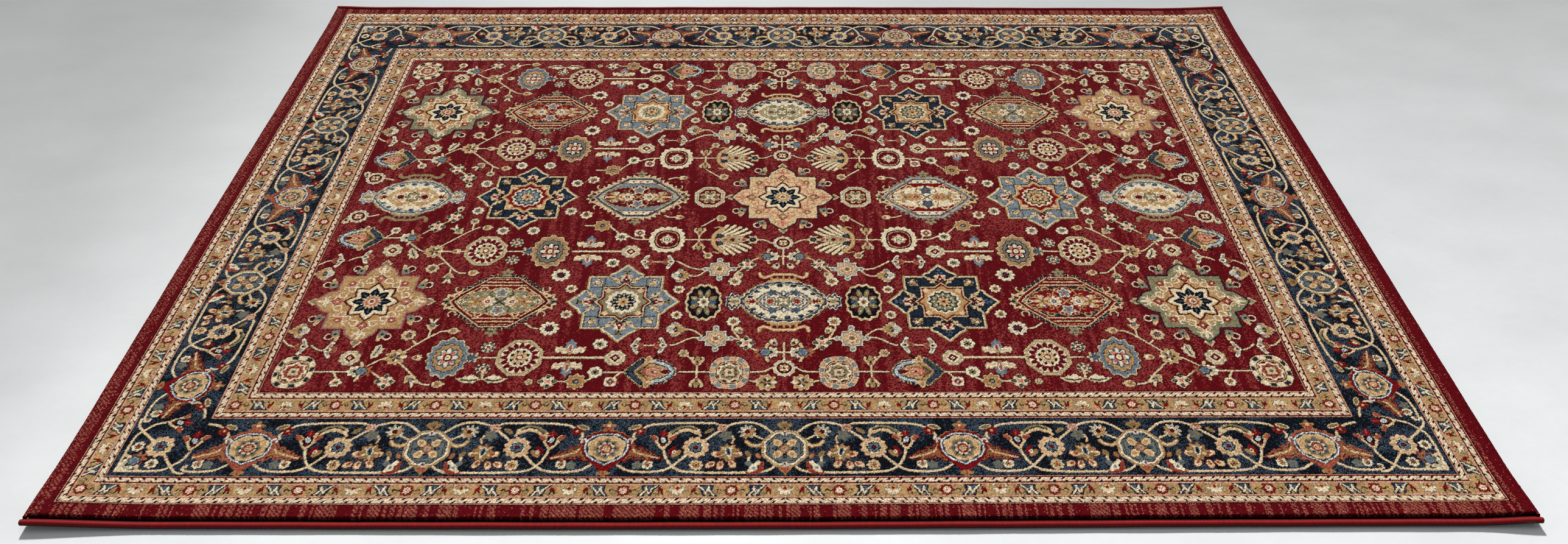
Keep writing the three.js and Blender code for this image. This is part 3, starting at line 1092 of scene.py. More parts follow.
GOLD_STAR = dict(ground="gold", edge="rose", shade="slate", blossom="rose")
SAGE_STAR = dict(ground="sage", edge="navy", shade="ink", blossom="rust", inside="gold")
PALE_STAR = dict(ground="cream", edge="navy", shade="ink", blossom="gold", scroll="rose")
STEEL_PANEL_STAR = dict(
    ground="steel", edge="gold", rim="ivory", panel="sage",
    panel_line="wine", flower="navy", flower_edge="ivory",
)
NAVY_PANEL_STAR = dict(
    ground="navy", edge="gold", rim="ivory", panel="gold",
    panel_line="wine", flower="sage", flower_edge="navy",
)
RED_PANEL = dict(panel="red", panel_line="gold")
SAGE_LOZENGE = dict(
    teeth="navy", teeth_edge="cream", band="wine", ground="sage",
    spandrel="red", scroll="cream", blossom="red",
)
RED_LOZENGE = dict(
    teeth="navy", teeth_edge="cream", band="red", ground="red",
    spandrel="navy", scroll="gold", blossom="slate",
)
WINE_LOZENGE = dict(
    teeth="cream", teeth_edge="ivory", band="slate", ground="wine",
    spandrel="steel", scroll="sage", blossom="navy", bar=True,
)
IVORY_LOZENGE = dict(
    teeth="steel", teeth_edge="gold", band="steel", ground="ivory",
    spandrel="red", scroll="cream", blossom="red", bar=True,
)
SHIELD = dict(
    canopy="gold", fringe="camel", frame="navy", comb="navy",
    leafage="slate", bloom="rust", heart="sage",
)
END_SHIELD = dict(SHIELD, canopy="sage", frame="steel", comb="slate", leafage="gold", bloom="wine")
MEDALLIONS = [
    # Motif, place of its middle, colours.
    (flower_star, -955, -395, GOLD_STAR),
    (flower_star, 955, 395, GOLD_STAR),
    (flower_star, 955, -395, SAGE_STAR),
    (flower_star, -955, 395, SAGE_STAR),
    (flower_star, 0, 0, PALE_STAR),
    (panel_star, -373, -396, STEEL_PANEL_STAR),
    (panel_star, -373, 396, {**STEEL_PANEL_STAR, "panel": "gold", "flower": "sage"}),
    (panel_star, 373, -396, NAVY_PANEL_STAR),
    (panel_star, 373, 396, NAVY_PANEL_STAR),
    (panel_star, -661, 0, {**NAVY_PANEL_STAR, **RED_PANEL, "flower": "steel"}),
    (panel_star, 661, 0, {**STEEL_PANEL_STAR, **RED_PANEL, "flower": "gold", "flower_edge": "navy"}),
    (lozenge, -659, -395, SAGE_LOZENGE),
    (lozenge, 659, 395, SAGE_LOZENGE),
    (lozenge, 659, -395, RED_LOZENGE),
    (lozenge, -659, 395, RED_LOZENGE),
    (lozenge, -374, 0, WINE_LOZENGE),
    (lozenge, 374, 0, IVORY_LOZENGE),
    (cartouche, 0, -395, SHIELD),
    (cartouche, 0, 395, {**SHIELD, "leafage": "sage", "bloom": "olive"}),
    (cartouche, -957, 0, END_SHIELD),
    (cartouche, 957, 0, END_SHIELD),
]


def draw_medallions(paper):
    for motif, x, y, colours in MEDALLIONS:
        motif(paper.window(x, y, 152), **colours)


# ---------------------------------------------------------------- borders


class Ring:
    """A mitred frame round the field: along each side from its middle, and beyond its inner edge."""

    def __init__(self, paper, half_length, half_width, width):
        x, y = np.meshgrid(paper.x, paper.y)
        past_end, past_side = abs(x) - half_length, abs(y) - half_width
        beyond = np.maximum(past_end, past_side)
        self.inside = (beyond >= 0) & (beyond < width)
        self.paper = paper
        self.on_end = (past_end > past_side)[self.inside]
        self.along = np.where(self.on_end, abs(y[self.inside]), abs(x[self.inside]))
        self.beyond = beyond[self.inside]
        self.across = np.minimum(past_end, past_side)[self.inside]
        self.tufts = paper.tufts[self.inside]
        self.odd = paper.odd[self.inside]
        self.stray = paper.stray_x[self.inside], paper.stray_y[self.inside]

    def pen(self, u, v, chosen):
        u = u[chosen] + self.stray[0][chosen]
        v = v[chosen] + self.stray[1][chosen]
        return Pen(self.tufts[chosen], u, v, self.odd[chosen])

    def weave(self):
        self.paper.tufts[self.inside] = self.tufts


GUARD_EDGE = 20.5  # how far the lines along each edge of a guard reach in
ROPE_START = 4.4  # from the guard's edge
ROPE_PERIOD = 23.0
GUARD_HALF_PERIOD = 106  # from the middle of a rosette to the middle of a fan, as drawn


def guard_stripes(ring, width):
    """Along both edges of a guard: pale line, red beads, ivory rope, dark beads, pale line; gold between."""
    edge = np.minimum(ring.beyond, width - ring.beyond)
    tufts, along = ring.tufts, ring.along
    tufts[:] = YARN["blush"]
    tufts[edge > 2] = YARN["red"]
    tufts[(edge > 2) & ring.odd] = YARN["wine"]
    tufts[edge > ROPE_START] = YARN["ivory"]
    tufts[(edge > ROPE_START) & (abs((along + edge) % 7.6 - 3.8) < 1)] = YARN["blush"]
    tufts[edge > 14.6] = YARN["red"]
    tufts[(edge > 14.6) & (along % 6.4 < 3.2)] = YARN["ink"]
    tufts[edge > 17.4] = YARN["blush"]
    tufts[edge > GUARD_EDGE] = YARN["straw"]
    # The rope's short dark ticks stand first along one edge and half a period later along the other.
    leaning = (along + 0.9 * edge) % ROPE_PERIOD
    depth = edge - ROPE_START
    near = (depth > 0) & (depth < 4.4) & (abs(leaning - 5) < 2.6)
    far = (depth > 6) & (depth < 10.4) & (abs(leaning - 5 - ROPE_PERIOD / 2) < 2.6)
    tufts[near | far] = YARN["ink"]


def guard_rosette(pen):
    """A red rosette between two waving tails."""
    u, v = pen.u, pen.v
    for side in (-1, 1):
        tail = trail(side * u, v, [(12, 0), (18, 1.5), (22, -3), (25, -2), (27, 2)])
        pen.dots(ellipse(u - side * 21, v - 7, 6, 3), "olive")
        pen.fill(tail - 1.2, "ink")
    pen.stack(petals, u, v, (8, 2, 14.5, 9, "wine"), (8, 5, 13, 5, "red"))
    pen.dots(petals(u, v, 9, 9, 12, 4), "rust")
    pen.fill(lobed(u, v, 7.4, 8, 0.08), "ivory")
    pen.dots(line(disc(u, v, 5), 2.4), "rose")
    pen.fill(disc(u, v, 1.8), "rust")


def guard_leaf(pen):
    """A slanted leaf: a dark bar down each side and an ivory zigzag between them."""
    u, v = pen.u, pen.v
    shape = polygon(u, v, [(-20, 13), (-10, 2), (-13, -13), (23, -13), (12, -1), (7, 13)])
    pen.nest(shape, (-0.8, "navy"), (3, "slate"))
    pen.fill(ellipse(*turned(u - 2, v - 6, -50), 9, 4), "gold")
    zigzag = trail(u, v, [(-13, 11), (-4, 0), (-4, -9), (2, 8), (7, -2), (17, -11)])
    pen.nest(zigzag, (-2.8, "ink"), (-1.6, "ivory"))


def guard_cross(pen):
    """A small red flower with black feet."""
    u, v = pen.u, pen.v
    pen.fill(trail(abs(u), v, [(2, 2), (5, 9)]) - 1.4, "ink")
    pen.fill(ellipse(*turned(u - 1, v + 2, 60), 8, 3.6), "wine")
    pen.fill(ellipse(u, v + 1, 5, 4), "red")
    pen.fill(disc(u - 2, v + 7, 2), "rose")


def guard_fan(pen):
    """A pale fan that opens along +v under a camel crown and a red eye."""
    u, v = pen.u, pen.v
    pen.stack(petals, u, v + 4, (9, 4, 17, 8, 90, "pewter"), (9, 4, 15.5, 7, 90, "ivory"))
    crown = np.maximum(petals(u, v + 4, 9, 3, 14, 6, 90), v + 3)
    pen.fill(crown, "camel")
    pen.fill(petals(u, v + 4, 5, 2, 8, 4, 90), "cream")
    pen.fill(diamond(u, v + 5, 4.6), "red")


def guard_motifs(ring, corner_along, half_periods, width, flip):
    """Rosettes and fans in turn along the gold band, with a leaf and a red cross between them."""
    spans = np.where(ring.on_end, half_periods[1], half_periods[0])
    corner = np.where(ring.on_end, corner_along[1], corner_along[0])
    half = corner / spans
    phase = (corner - ring.along) % (2 * half)
    u = np.minimum(phase, 2 * half - phase) * GUARD_HALF_PERIOD / half
    v = flip * (width / 2 - ring.beyond)
    band = abs(v) < width / 2 - GUARD_EDGE
    pen = ring.pen(u, v, band)
    guard_rosette(pen)
    guard_leaf(pen.moved(48, 0))
    pen.fill(trail(pen.u, pen.v, [(60, 6), (66, 10)]) - 1.4, "olive")
    guard_cross(pen.moved(73, 0))
    guard_fan(pen.moved(GUARD_HALF_PERIOD, 0))
    ring.tufts[band] = pen.tufts


def border_medallion(pen):
    """The ringed octagon with four pale lobes on grey."""
    u, v = pen.u, pen.v
    a, b = folded(u, v)
    # Horns and leaves at its sides, finials towards and away from the field.
    horn = trail(a, v, [(46, 12), (56, 6), (64, 8), (72, 10), (78, 18)])
    pen.nest(horn, (-4.6, "camel"), (-2.6, "cream"))
    pen.fill(ellipse(*turned(a - 54, v + 19, 60), 8, 5), "rust")
    pen.fill(ellipse(*turned(a - 54, v + 19, 60), 6, 3), "camel")
    pen.fill(polygon(a, v, [(-1, 44), (8, 54), (16, 60), (14, 68), (7, 66), (4, 74), (-1, 70)]), "camel")
    pen.fill(polygon(a, v, [(-1, 50), (6, 58), (11, 62), (5, 63), (-1, 68)]), "olive")
    pen.fill(disc(a, v - 55, 3), "wine")
    pen.fill(polygon(a, v, [(-1, -44), (14, -48), (11, -55), (5, -60), (-1, -70)]), "camel")
    pen.fill(polygon(a, v, [(-1, -46), (9, -50), (5, -57), (-1, -62)]), "rust")
    rim = lobed(u, v, 48, 8, 0.03, 22.5)
    pen.fill(rim, "camel")
    pen.dots(line(rim + 1, 2.5), "cream")
    pen.nest(rim, (4.5, "ivory"), (9, "ink"), (11, "pewter"))
    pen.fill(line(rim + 15, 1.8), "ink")
    pen.stack(
        petals, u, v,
        (4, 7, 33, 19, 45, "ink"),
        (4, 9, 32, 17, 45, "cream"),
        (4, 16, 27, 8, 45, "gold"),
        (4, 13, 26, 8, 0, "ink"),
        (4, 16, 23, 4, 0, "slate"),
    )
    pen.fill(petals(a, b - 40, 5, 2, 7, 4, 90), "white")
    pen.fill(disc(a, b - 40, 2.6), "red")
    pen.fill(lobed(u, v, 11, 8, 0.08), "camel")
    pen.dots(line(disc(u, v, 9), 2.6), "red")
    pen.stack(disc, u, v, (6, "blush"), (3.6, "steel"))


FLAME = [
    # The jagged leaf beside a rosette, out along its upper edge and back along its lower one.
    *[(34, 28), (52, 24), (58, 12), (63, 3), (74, 6), (78, -4), (92, -7), (102, -15), (117, -25)],
    *[(106, -29), (96, -26), (86, -34), (74, -27), (62, -29), (52, -24), (40, -34), (30, -30)],
]
ONION = [(0, -43), (10, -36), (24, -30), (37, -19), (44, -4), (45, 10), (40, 23), (30, 33), (15, 39), (0, 40)]


def border_rosette(pen, flame):
    """The round gold flower in its onion-shaped outline and flames; v points towards the field."""
    u, v = abs(pen.u), pen.v
    side = Pen(pen.tufts, u, v, pen.odd)
    leaf_edge = polygon(u, v, FLAME)
    side.fill(leaf_edge + 1.6 * np.cos(0.55 * (u - v)), flame)
    side.dots(leaf_edge + 2.5, "camel")
    side.fill(line(leaf_edge + 5, 1.8), "ink")
    side.fill(trail(u, v, [(48, 8), (60, -10), (84, -18), (108, -25)]) - 1.8, "cream")
    side.fill(trail(u, v, [(62, -12), (70, -2)]) - 1.2, "camel")
    side.fill(trail(u, v, [(80, -17), (86, -28)]) - 1.2, "camel")
    onion = outline(u, v, ONION)
    frill = 1.6 * np.cos(20 * bearing(u, v))
    pen.fill(onion - 8 - frill, "camel")
    pen.fill(onion - 6.5 - frill, flame)
    tail = outline(u, v, [(46, 0), (38, -26), (20, -44), (8, -56), (6, -68), (0, -68)])
    pen.fill(np.maximum(tail, v + 10), flame)
    pen.nest(onion, (-1.5, "ink"), (0, "white"))
    pen.fill(curl(u - 47, v - 20, 5, 3.4, -110), "white")
    pen.nest(onion, (3, "slate"), (5, "ink"))
    pen.fill(onion + 6.6 + 1.6 * np.cos(8 * bearing(u, v)), "cream")
    pen.dots(onion + 10, "gold")
    pen.stack(lobed, u, v, (24.5, 8, 0.1, "camel"), (22.5, 8, 0.12, "olive"))
    pen.stack(petals, u, v, (8, 12, 23, 8, "pewter"), (8, 14, 21, 4, "navy"))
    pen.fill(lobed(u, v, 15.5, 8, 0.1, 22.5), "ivory")
    pen.fill(disc(u, v, 13), "wine")
    pen.dots(line(disc(u, v, 11), 3), "rose")
    pen.fill(disc(u, v, 7.5), "cream")
    pen.fill(line(disc(u, v, 4), 1.8), "rust")
    # Crown and finial.
    crown = pen.moved(0, 57)
    crown.fill(lobed(crown.u, crown.v, 12.5, 5, 0.24, 90), "camel")
    crown.fill(lobed(crown.u, crown.v + 2, 9, 5, 0.24, 90), "rust")
    crown.fill(disc(crown.u, crown.v - 3, 4), "cream")
    foot = [(-1, -56), (5, -56), (14, -60), (12, -66), (5, -66), (4, -71), (-1, -71)]
    pen.fill(polygon(u, v, foot), "camel")
    pen.fill(polygon(u, v, [(-1, -54), (3, -58), (2, -68), (-1, -68)]), "rust")


def pear_flower(pen):
    """A pale cup that opens towards the field, rust arms at its sides and a flame in it."""
    u, v = abs(pen.u), pen.v
    cup = outline(u, v, [(0, -26), (6, -20), (14, -8), (20, 2), (28, 13), (18, 15), (12, 8), (0, 6)])
    pen.nest(cup, (-1, "ink"), (0, "cream"))
    pen.fill(polygon(u, v, [(16, -2), (28, 8), (27, 15), (17, 12), (11, 4)]), "rust")
    pen.fill(outline(u, v, [(0, -18), (6, -12), (11, -2), (9, 10), (0, 14)]), "ink")
    pen.fill(diamond(u, v - 17, 10, 12) + 1.2 * np.cos(v), "red")
    pen.fill(trail(u, v, [(0, 14), (0, 25)]) - 1.2, "rust")
    pen.fill(ellipse(*turned(pen.u, v - 1, 60), 8, 5), "white")
    pen.dots(ellipse(*turned(pen.u, v - 1, 60), 6, 3), "steel")
    pen.fill(diamond(u, v + 11, 4), "red")


def spray(pen):
    """A palmette with a dark slit among pale blobs and a grey leaf."""
    u, v = pen.u, pen.v
    blobs = [(138, -20, 20), (150, -46, -30), (130, -48, -80), (106, -45, -120), (96, -20, 170)]
    for blob in blobs:
        petal = pen.moved(*blob)
        petal.stack(ellipse, petal.u, petal.v, (12, 8.5, "wine"), (10.5, 7, "cream"))
        petal.fill(ellipse(petal.u + 3, petal.v, 6, 3), "rust")
        petal.fill(ellipse(petal.u - 5, petal.v, 3, 2.4), "ivory")
    leafy = pen.moved(121, 29, 100)
    leafy.fill(lobed(leafy.u, leafy.v, 13, 5, 0.2, 36), "pewter")
    leafy.dots(lobed(leafy.u, leafy.v, 10, 5, 0.2, 36), "olive")
    pen.fill(trail(u, v, [(107, 10), (104, 20), (108, 28)]) - 2, "cream")
    palmette = pen.moved(114, -15, 80)
    shape = lobed(palmette.u, palmette.v, 20, 9, 0.16, 0)
    palmette.nest(shape, (-1.2, "wine"), (0, "camel"))
    palmette.dots(shape + 4, "olive")
    palmette.fill(petals(palmette.u, palmette.v, 5, 8, 19, 5, 180), "cream")
    palmette.stack(
        ellipse, palmette.u - 2, palmette.v, (12, 6.5, "ivory"), (10, 4.6, "slate"), (7, 2.2, "ink")
    )


def side_petals(pen):
    """The small flower low beside the medallion: rust petals, an ivory heart and a grey leaf."""
    u, v = pen.u, pen.v
    pen.fill(ellipse(*turned(u - 10, v - 10, 30), 9, 6), "pewter")
    petal = trail(u, v, [(-15, 12), (-14, -4), (-6, -11), (12, -12)])
    pen.fill(petal - 4.6, "rust")
    pen.dots(petal - 3, "red")
    pen.fill(trail(u, v, [(-9, 14), (-2, 6), (4, -2), (9, -8)]) - 4.4, "ivory")
    pen.fill(lobed(u - 1, v, 8, 5, 0.12), "ivory")
    pen.fill(disc(u - 1, v, 3.4), "steel")


def bell_leaf(pen):
    """A small rust and camel leaf with a white eye."""
    u, v = pen.u, pen.v
    pen.fill(ellipse(*turned(u - 3, v - 4, 120), 12, 6), "red")
    pen.fill(ellipse(*turned(u + 5, v + 4, 140), 12, 6), "camel")
    pen.fill(ellipse(u + 1, v, 4, 5), "ivory")
    pen.fill(disc(u + 1, v, 2), "rust")


def cup_flower(pen):
    """A camel cup that opens along +u round a wine heart and a fan of white petals."""
    u, v = pen.u, pen.v
    pen.fill(petals(u, v, 9, 4, 19, 6), "ivory")
    pen.dots(petals(u, v, 9, 7, 18, 4), "slate")
    pen.fill(polygon(u, abs(v), [(-14, 0), (-11, 10), (-4, 19), (-1, 10), (0, 0)]), "camel")
    pen.dots(polygon(u, abs(v), [(-12, 0), (-10, 8), (-4, 15), (-2, 0)]), "gold")
    pen.stack(disc, u, v, (5.5, "ink"), (3.6, "wine"))


def curved_leaf(pen):
    """A long leaf, dark and olive above, pale below."""
    spine = trail(pen.u, pen.v, [(180, 40), (194, 48), (212, 46), (226, 38), (236, 28)])
    upper = trail(pen.u, pen.v, [(184, 46), (200, 53), (218, 49), (232, 38)])
    pen.fill(spine - 7.5, "cream")
    pen.fill(upper - 3.5, "olive")
    pen.dots(upper - 3.5, "sage")
    pen.fill(trail(pen.u, pen.v, [(182, 43), (198, 50), (214, 47), (230, 34)]) - 1.4, "ink")
    pen.fill(trail(pen.u, pen.v, [(178, 36), (172, 28)]) - 2.5, "cream")


BORDER_VINES = [
    # From a medallion at 0 to a rosette at 362; the second number grows towards the field.
    [(27, 38), (46, 55), (58, 61), (72, 64), (90, 64), (112, 58), (126, 50)],
    [(127, 50), (140, 36), (159, 20), (168, 8)],
    [(139, 59), (150, 63), (274, 61), (298, 44), (312, 30), (306, 20)],
    [(23, -52), (35, -62), (60, -66), (200, -66), (227, -52), (240, -30), (246, -8), (249, 6)],
    [(196, -18), (202, -25), (227, -52), (250, -64), (310, -64), (335, -47)],
    [(73, -20), (73, -44)],
]
HALF_REPEAT = 362.0  # as drawn


def oval_leaf(pen, edge, half_u, half_v, inner_u, inner_v):
    """An oval leaf with an olive heart."""
    pen.stack(ellipse, pen.u, pen.v, (half_u, half_v, edge), (inner_u, inner_v, "olive"))


def border_cell(pen, flame):
    """Half a repeat of the main border."""
    for points in BORDER_VINES:
        vine(pen, points, 5.4)
    vine(pen, [(66, 31), (46, 20)], 4.5)
    cup_flower(pen.moved(77, 39, 38))
    side_petals(pen.moved(62, -54))
    daisy(pen.moved(128, 49), 11.5, 6, "blush", "cream", "rose")
    daisy(pen.moved(297, 41), 12, 7, "red", "rust", "cream")
    dark_eyed_flower(pen.moved(181, -2))
    spray(pen)
    curved_leaf(pen)
    oval_leaf(pen.moved(74, -19, 60), "camel", 9, 5, 6, 2.5)
    oval_leaf(pen.moved(156, 41, -35), "camel", 11, 4.5, 7, 2.5)
    daisy(pen.moved(178, -47), 14, 8, "cream", "gold", "red")
    bell_leaf(pen.moved(225, -14))
    pear_flower(pen.moved(248, 16))
    daisy(pen.moved(276, -45), 12, 7, "ivory", "gold", "red")
    oval_leaf(pen.moved(309, 51, 160), "cream", 14, 6, 11, 4)
    leafy = pen.moved(296, -47, 20)
    leafy.fill(lobed(leafy.u, leafy.v, 10, 5, 0.15), "pewter")
    leafy.dots(disc(leafy.u, leafy.v, 7), "olive")
    border_medallion(pen.moved(0, -5))
    border_rosette(pen.moved(HALF_REPEAT, -5), flame)


def border_corner(pen):
    """The square corner of the main border; u and v run outwards from its middle."""
    a, b = np.maximum(pen.u, pen.v), np.minimum(pen.u, pen.v)
    half = Pen(pen.tufts, a, b, pen.odd)
    vine(half, [(63, 63), (63, -28), (51, -40), (35, -59), (10, -66)])
    vine(half, [(51, -40), (68, -56), (68, -80)])
    vine(half, [(51, -40), (16, -12)])
    daisy(half.moved(44, 0), 13, 7, "ivory", "olive", "red")
    pear = half.moved(-14, -64)
    pear_flower(Pen(pear.tufts, pear.v, -pear.u, pear.odd))
    daisy(half.moved(56, -72), 9, 6, "ivory", "gold", "red")
    dark_eyed_flower(pen)
    fan = pen.moved(37, 37, 45)
    heart_flower(Pen(fan.tufts, -fan.u, fan.v, fan.odd))


def draw_guard(paper, inner_edge, width, half_periods, flip):
    ring = Ring(paper, *inner_edge, width)
    guard_stripes(ring, width)
    corner_along = [side + width / 2 for side in inner_edge]
    guard_motifs(ring, corner_along, half_periods, width, flip)
    ring.weave()


def draw_main_border(paper, inner_edge, width, half_repeats):
    ring = Ring(paper, *inner_edge, width)
    ring.tufts[:] = YARN["night"]
    long_span, short_span = half_repeats
    s = np.where(
        ring.on_end,
        abs(ring.along % (2 * short_span) - short_span) * HALF_REPEAT / short_span,
        HALF_REPEAT - abs(ring.along % (2 * long_span) - long_span) * HALF_REPEAT / long_span,
    )
    t = width / 2 - ring.beyond
    rust = np.where(ring.on_end, ring.along < short_span, ring.along > 2 * long_span)
    in_corner = ring.across >= 0
    for chosen, flame in ((~rust & ~in_corner, "red"), (rust & ~in_corner, "rust")):
        pen = ring.pen(s, t, chosen)
        border_cell(pen, flame)
        ring.tufts[chosen] = pen.tufts
    pen = ring.pen(ring.beyond - width / 2, ring.across - width / 2, in_corner)
    border_corner(pen)
    ring.tufts[in_corner] = pen.tufts
    ring.weave()


# As woven, along the long sides and along the ends.
HALF_REPEATS = (362.2, 329.0)
INNER_HALF_PERIODS = (11, 7)
OUTER_HALF_PERIODS = (13, 9)


def draw_borders(paper, sizes):
    draw_guard(paper, sizes["field"], sizes["inner_guard_width"], INNER_HALF_PERIODS, 1)
    draw_guard(paper, sizes["main_border"], sizes["outer_guard_width"], OUTER_HALF_PERIODS, -1)
    draw_main_border(paper, sizes["inner_guard"], sizes["main_border_width"], HALF_REPEATS)


# ---------------------------------------------------------------- grounds mixed from several yarns


def patches(paper, rng, wide, deep):
    """Smooth noise from 0 to 1 whose patches are the given number of millimetres wide and deep."""
    i = np.arange(paper.columns) * paper.pitch / wide
    j = np.arange(paper.rows) * paper.pitch / deep
    coarse = rng.random((int(j[-1]) + 2, int(i[-1]) + 2))
    share_i, share_j = (i % 1)[None, :], (j % 1)[:, None]
    i, j = i.astype(int), j.astype(int)
    low = coarse[j][:, i] * (1 - share_i) + coarse[j][:, i + 1] * share_i
    high = coarse[j + 1][:, i] * (1 - share_i) + coarse[j + 1][:, i + 1] * share_i
    return low * (1 - share_j) + high * share_j


SHOWS_THROUGH = {
    # Yarn: the yarn seen here and there between its tufts, and how often.
    "ivory": ("cream", 0.25),
    "cream": ("gold", 0.25),
    "white": ("steel", 0.25),
    "gold": ("camel", 0.25),
    "blush": ("camel", 0.25),
    "camel": ("olive", 0.2),
    "sage": ("olive", 0.3),
    "steel": ("slate", 0.25),
    "pewter": ("slate", 0.25),
    "slate": ("navy", 0.3),
    "navy": ("ink", 0.4),
    "red": ("wine", 0.35),
    "rust": ("red", 0.2),
    "rose": ("rust", 0.25),
}


def show_through(paper, rng):
    """Swaps single tufts for the yarn that lies beside them."""
    tufts = paper.tufts
    drawn = tufts.copy()
    grain = rng.random(tufts.shape)
    for yarn, (other, share) in SHOWS_THROUGH.items():
        tufts[(drawn == YARN[yarn]) & (grain < share)] = YARN[other]


def paint_edge_shade(paper, rng):
    """Ground tufts beside a pale motif become near-black ink, as painted shade at its edge, most of all those
    right beside it.
    """
    tufts = paper.tufts
    grown = np.isin(tufts, [YARN[name] for name in ("ivory", "cream", "white", "blush", "gold")])
    for share in (0.9, 0.3):
        beside = grown.copy()
        beside[1:] |= grown[:-1]
        beside[:-1] |= grown[1:]
        beside[:, 1:] |= grown[:, :-1]
        beside[:, :-1] |= grown[:, 1:]
        chosen = beside & (tufts == YARN["field"]) & (rng.random(tufts.shape) < share)
        tufts[chosen] = YARN["ink"]
        grown = beside


def mix_field(paper, sizes, diagonal, grain, rng):
    """Plain wine, and cloudy areas flecked in clumps and in streaks that run across the rug."""
    tufts = paper.tufts
    half_length, half_width = sizes["field"]
    inside = (abs(paper.x)[None, :] < half_length) & (abs(paper.y)[:, None] < half_width)
    field = (tufts == YARN["field"]) & inside
    cloud = 0.5 * patches(paper, rng, 70, 150) + 0.5 * patches(paper, rng, 9, 90)
    share = np.clip(2.0 * (cloud - 0.3), 0.08, 0.5) * np.where(diagonal % 6.4 < 3.2, 1.2, 0.75)
    clump = rng.random([size // 2 + 1 for size in tufts.shape]).repeat(2, 0).repeat(2, 1)
    clumped = 0.65 * clump[: tufts.shape[0], : tufts.shape[1]] + 0.35 * grain
    tufts[field] = np.where(clumped < share, YARN["fleck"], YARN["wine"])[field]


def mix_margin(paper, sizes, diagonal, grain, rng):
    """Plain wine with columns of netting along the sides and one flecked strip along each end."""
    margin = paper.tufts == YARN["field"]
    past_end = (abs(paper.x) - sizes["outer_guard"][0])[None, :]
    column = patches(paper, rng, 5, 400)
    streak = patches(paper, rng, 5, 60)
    strip = np.where(paper.x < 0, past_end > 12, (past_end > 4) & (past_end < 15))
    along_end = np.where(strip, 0.1 + 0.45 * streak, 0.02)
    netting = np.where(past_end > 0, along_end, np.where(column > 0.48, 0.62, 0.03))
    netting = netting * np.where(paper.odd & (diagonal % 9.6 < 6.4), 1.5, 0.15)
    paper.tufts[margin] = np.where(grain < netting, YARN["tan"], YARN["wine"])[margin]


def mix_night(paper, grain, rng):
    """The main border's near black, with patches of thin slate lines."""
    night = paper.tufts == YARN["night"]
    patch = patches(paper, rng, 30, 30)
    rows, columns = np.indices(paper.tufts.shape)
    twill = (rows + columns + 2 * (grain * 1.6).astype(int)) % 3 == 0
    lined = twill & (grain < np.clip(2.2 * (patch - 0.3), 0.03, 0.8))
    plain = np.where(grain > 0.85, YARN["navy"], YARN["ink"])
    paper.tufts[night] = np.where(lined, YARN["slate"], plain)[night]


def mix_straw(paper, grain, rng):
    """The guards' gold, with streaks of camel and sage."""
    straw = paper.tufts == YARN["straw"]
    streak = patches(paper, rng, 8, 24)
    darker = np.where(grain < 0.35, YARN["camel"], YARN["sage"])
    paper.tufts[straw] = np.where((streak > 0.5) & (grain < 0.6), darker, YARN["gold"])[straw]


def mix_grounds(paper, sizes, rng):
    grain = rng.random(paper.tufts.shape)
    diagonal = paper.x[None, :] + paper.y[:, None]
    mix_field(paper, sizes, diagonal, grain, rng)
    mix_margin(paper, sizes, diagonal, grain, rng)
    mix_night(paper, grain, rng)
    mix_straw(paper, grain, rng)


PATTERN_SEED = 7


def weave_pattern(sizes, half_length, half_width, pitch):
    rng = np.random.default_rng(PATTERN_SEED)
    paper = Paper(half_length, half_width, pitch, rng)
    draw_field_vines(paper)
    draw_daisies(paper)
    draw_field_motifs(paper)
    draw_corner_fans(paper)
    draw_medallions(paper)
    outside = np.maximum(
        abs(paper.x)[None, :] - sizes["field"][0],
        abs(paper.y)[:, None] - sizes["field"][1],
    )
    paper.tufts[outside >= 0] = YARN["field"]
    draw_borders(paper, sizes)
    paint_edge_shade(paper, rng)
    show_through(paper, rng)
    mix_grounds(paper, sizes, rng)
    return paper


# ---------------------------------------------------------------- the frame, in millimetres

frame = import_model()


def cad_box(node):
    low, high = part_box(node)
    return np.array(low) / MM, np.array(high) / MM


CLEARANCE = 0.3  # between two neighbouring runs of pile in the CAD model
TUFT_PITCH = 1.6
RINGS = ("inner_guard", "main_border", "outer_guard", "margin")


def frame_edge(zone):
    """Outer half sizes of a pile zone that runs round the field."""
    half_length = cad_box(f"{zone}_pile_right")[1][0] + CLEARANCE / 2
    half_width = cad_box(f"{zone}_pile_back")[1][1] + CLEARANCE / 2
    return half_length, half_width


field_low, field_high = cad_box("field_pile")
EDGES = {
    "field": (field_high[0] + CLEARANCE / 2, field_high[1] + CLEARANCE / 2),
    **{zone: frame_edge(zone) for zone in RINGS},
}
ZONES = list(EDGES)
PILE_BOTTOM, PILE_TOP = field_low[2], field_high[2]
RUG_HALF_LENGTH = cad_box("end_roll_pile_right")[1][0]
SERGING_LOW, SERGING_HIGH = cad_box("serging_back")
SERGING_RADIUS = (SERGING_HIGH[2] - SERGING_LOW[2]) / 2
SERGING_Y = (SERGING_HIGH[1] + SERGING_LOW[1]) / 2
cord_low, cord_high = cad_box("edge_cord_back")
CORD_RADIUS = (cord_high[2] - cord_low[2]) / 2

sizes = dict(EDGES)
for inner_zone, zone in zip(ZONES, RINGS):
    sizes[f"{zone}_width"] = EDGES[zone][0] - EDGES[inner_zone][0]


# ---------------------------------------------------------------- how the rug lies

CORNER_LIFTS = [
    # Signs of the corner's X and Y, height in mm, reach in mm.
    (-1, -1, 9.2, 140),
    (1, -1, 8.0, 80),
    (1, 1, 6.0, 110),
    (-1, 1, 3.0, 80),
]
RIPPLE = 0.5  # half the height of the small waves along the edges, mm
SIDE_DRIFT = 2.0  # how far the long sides wander from straight, mm
END_DRIFT = 1.6


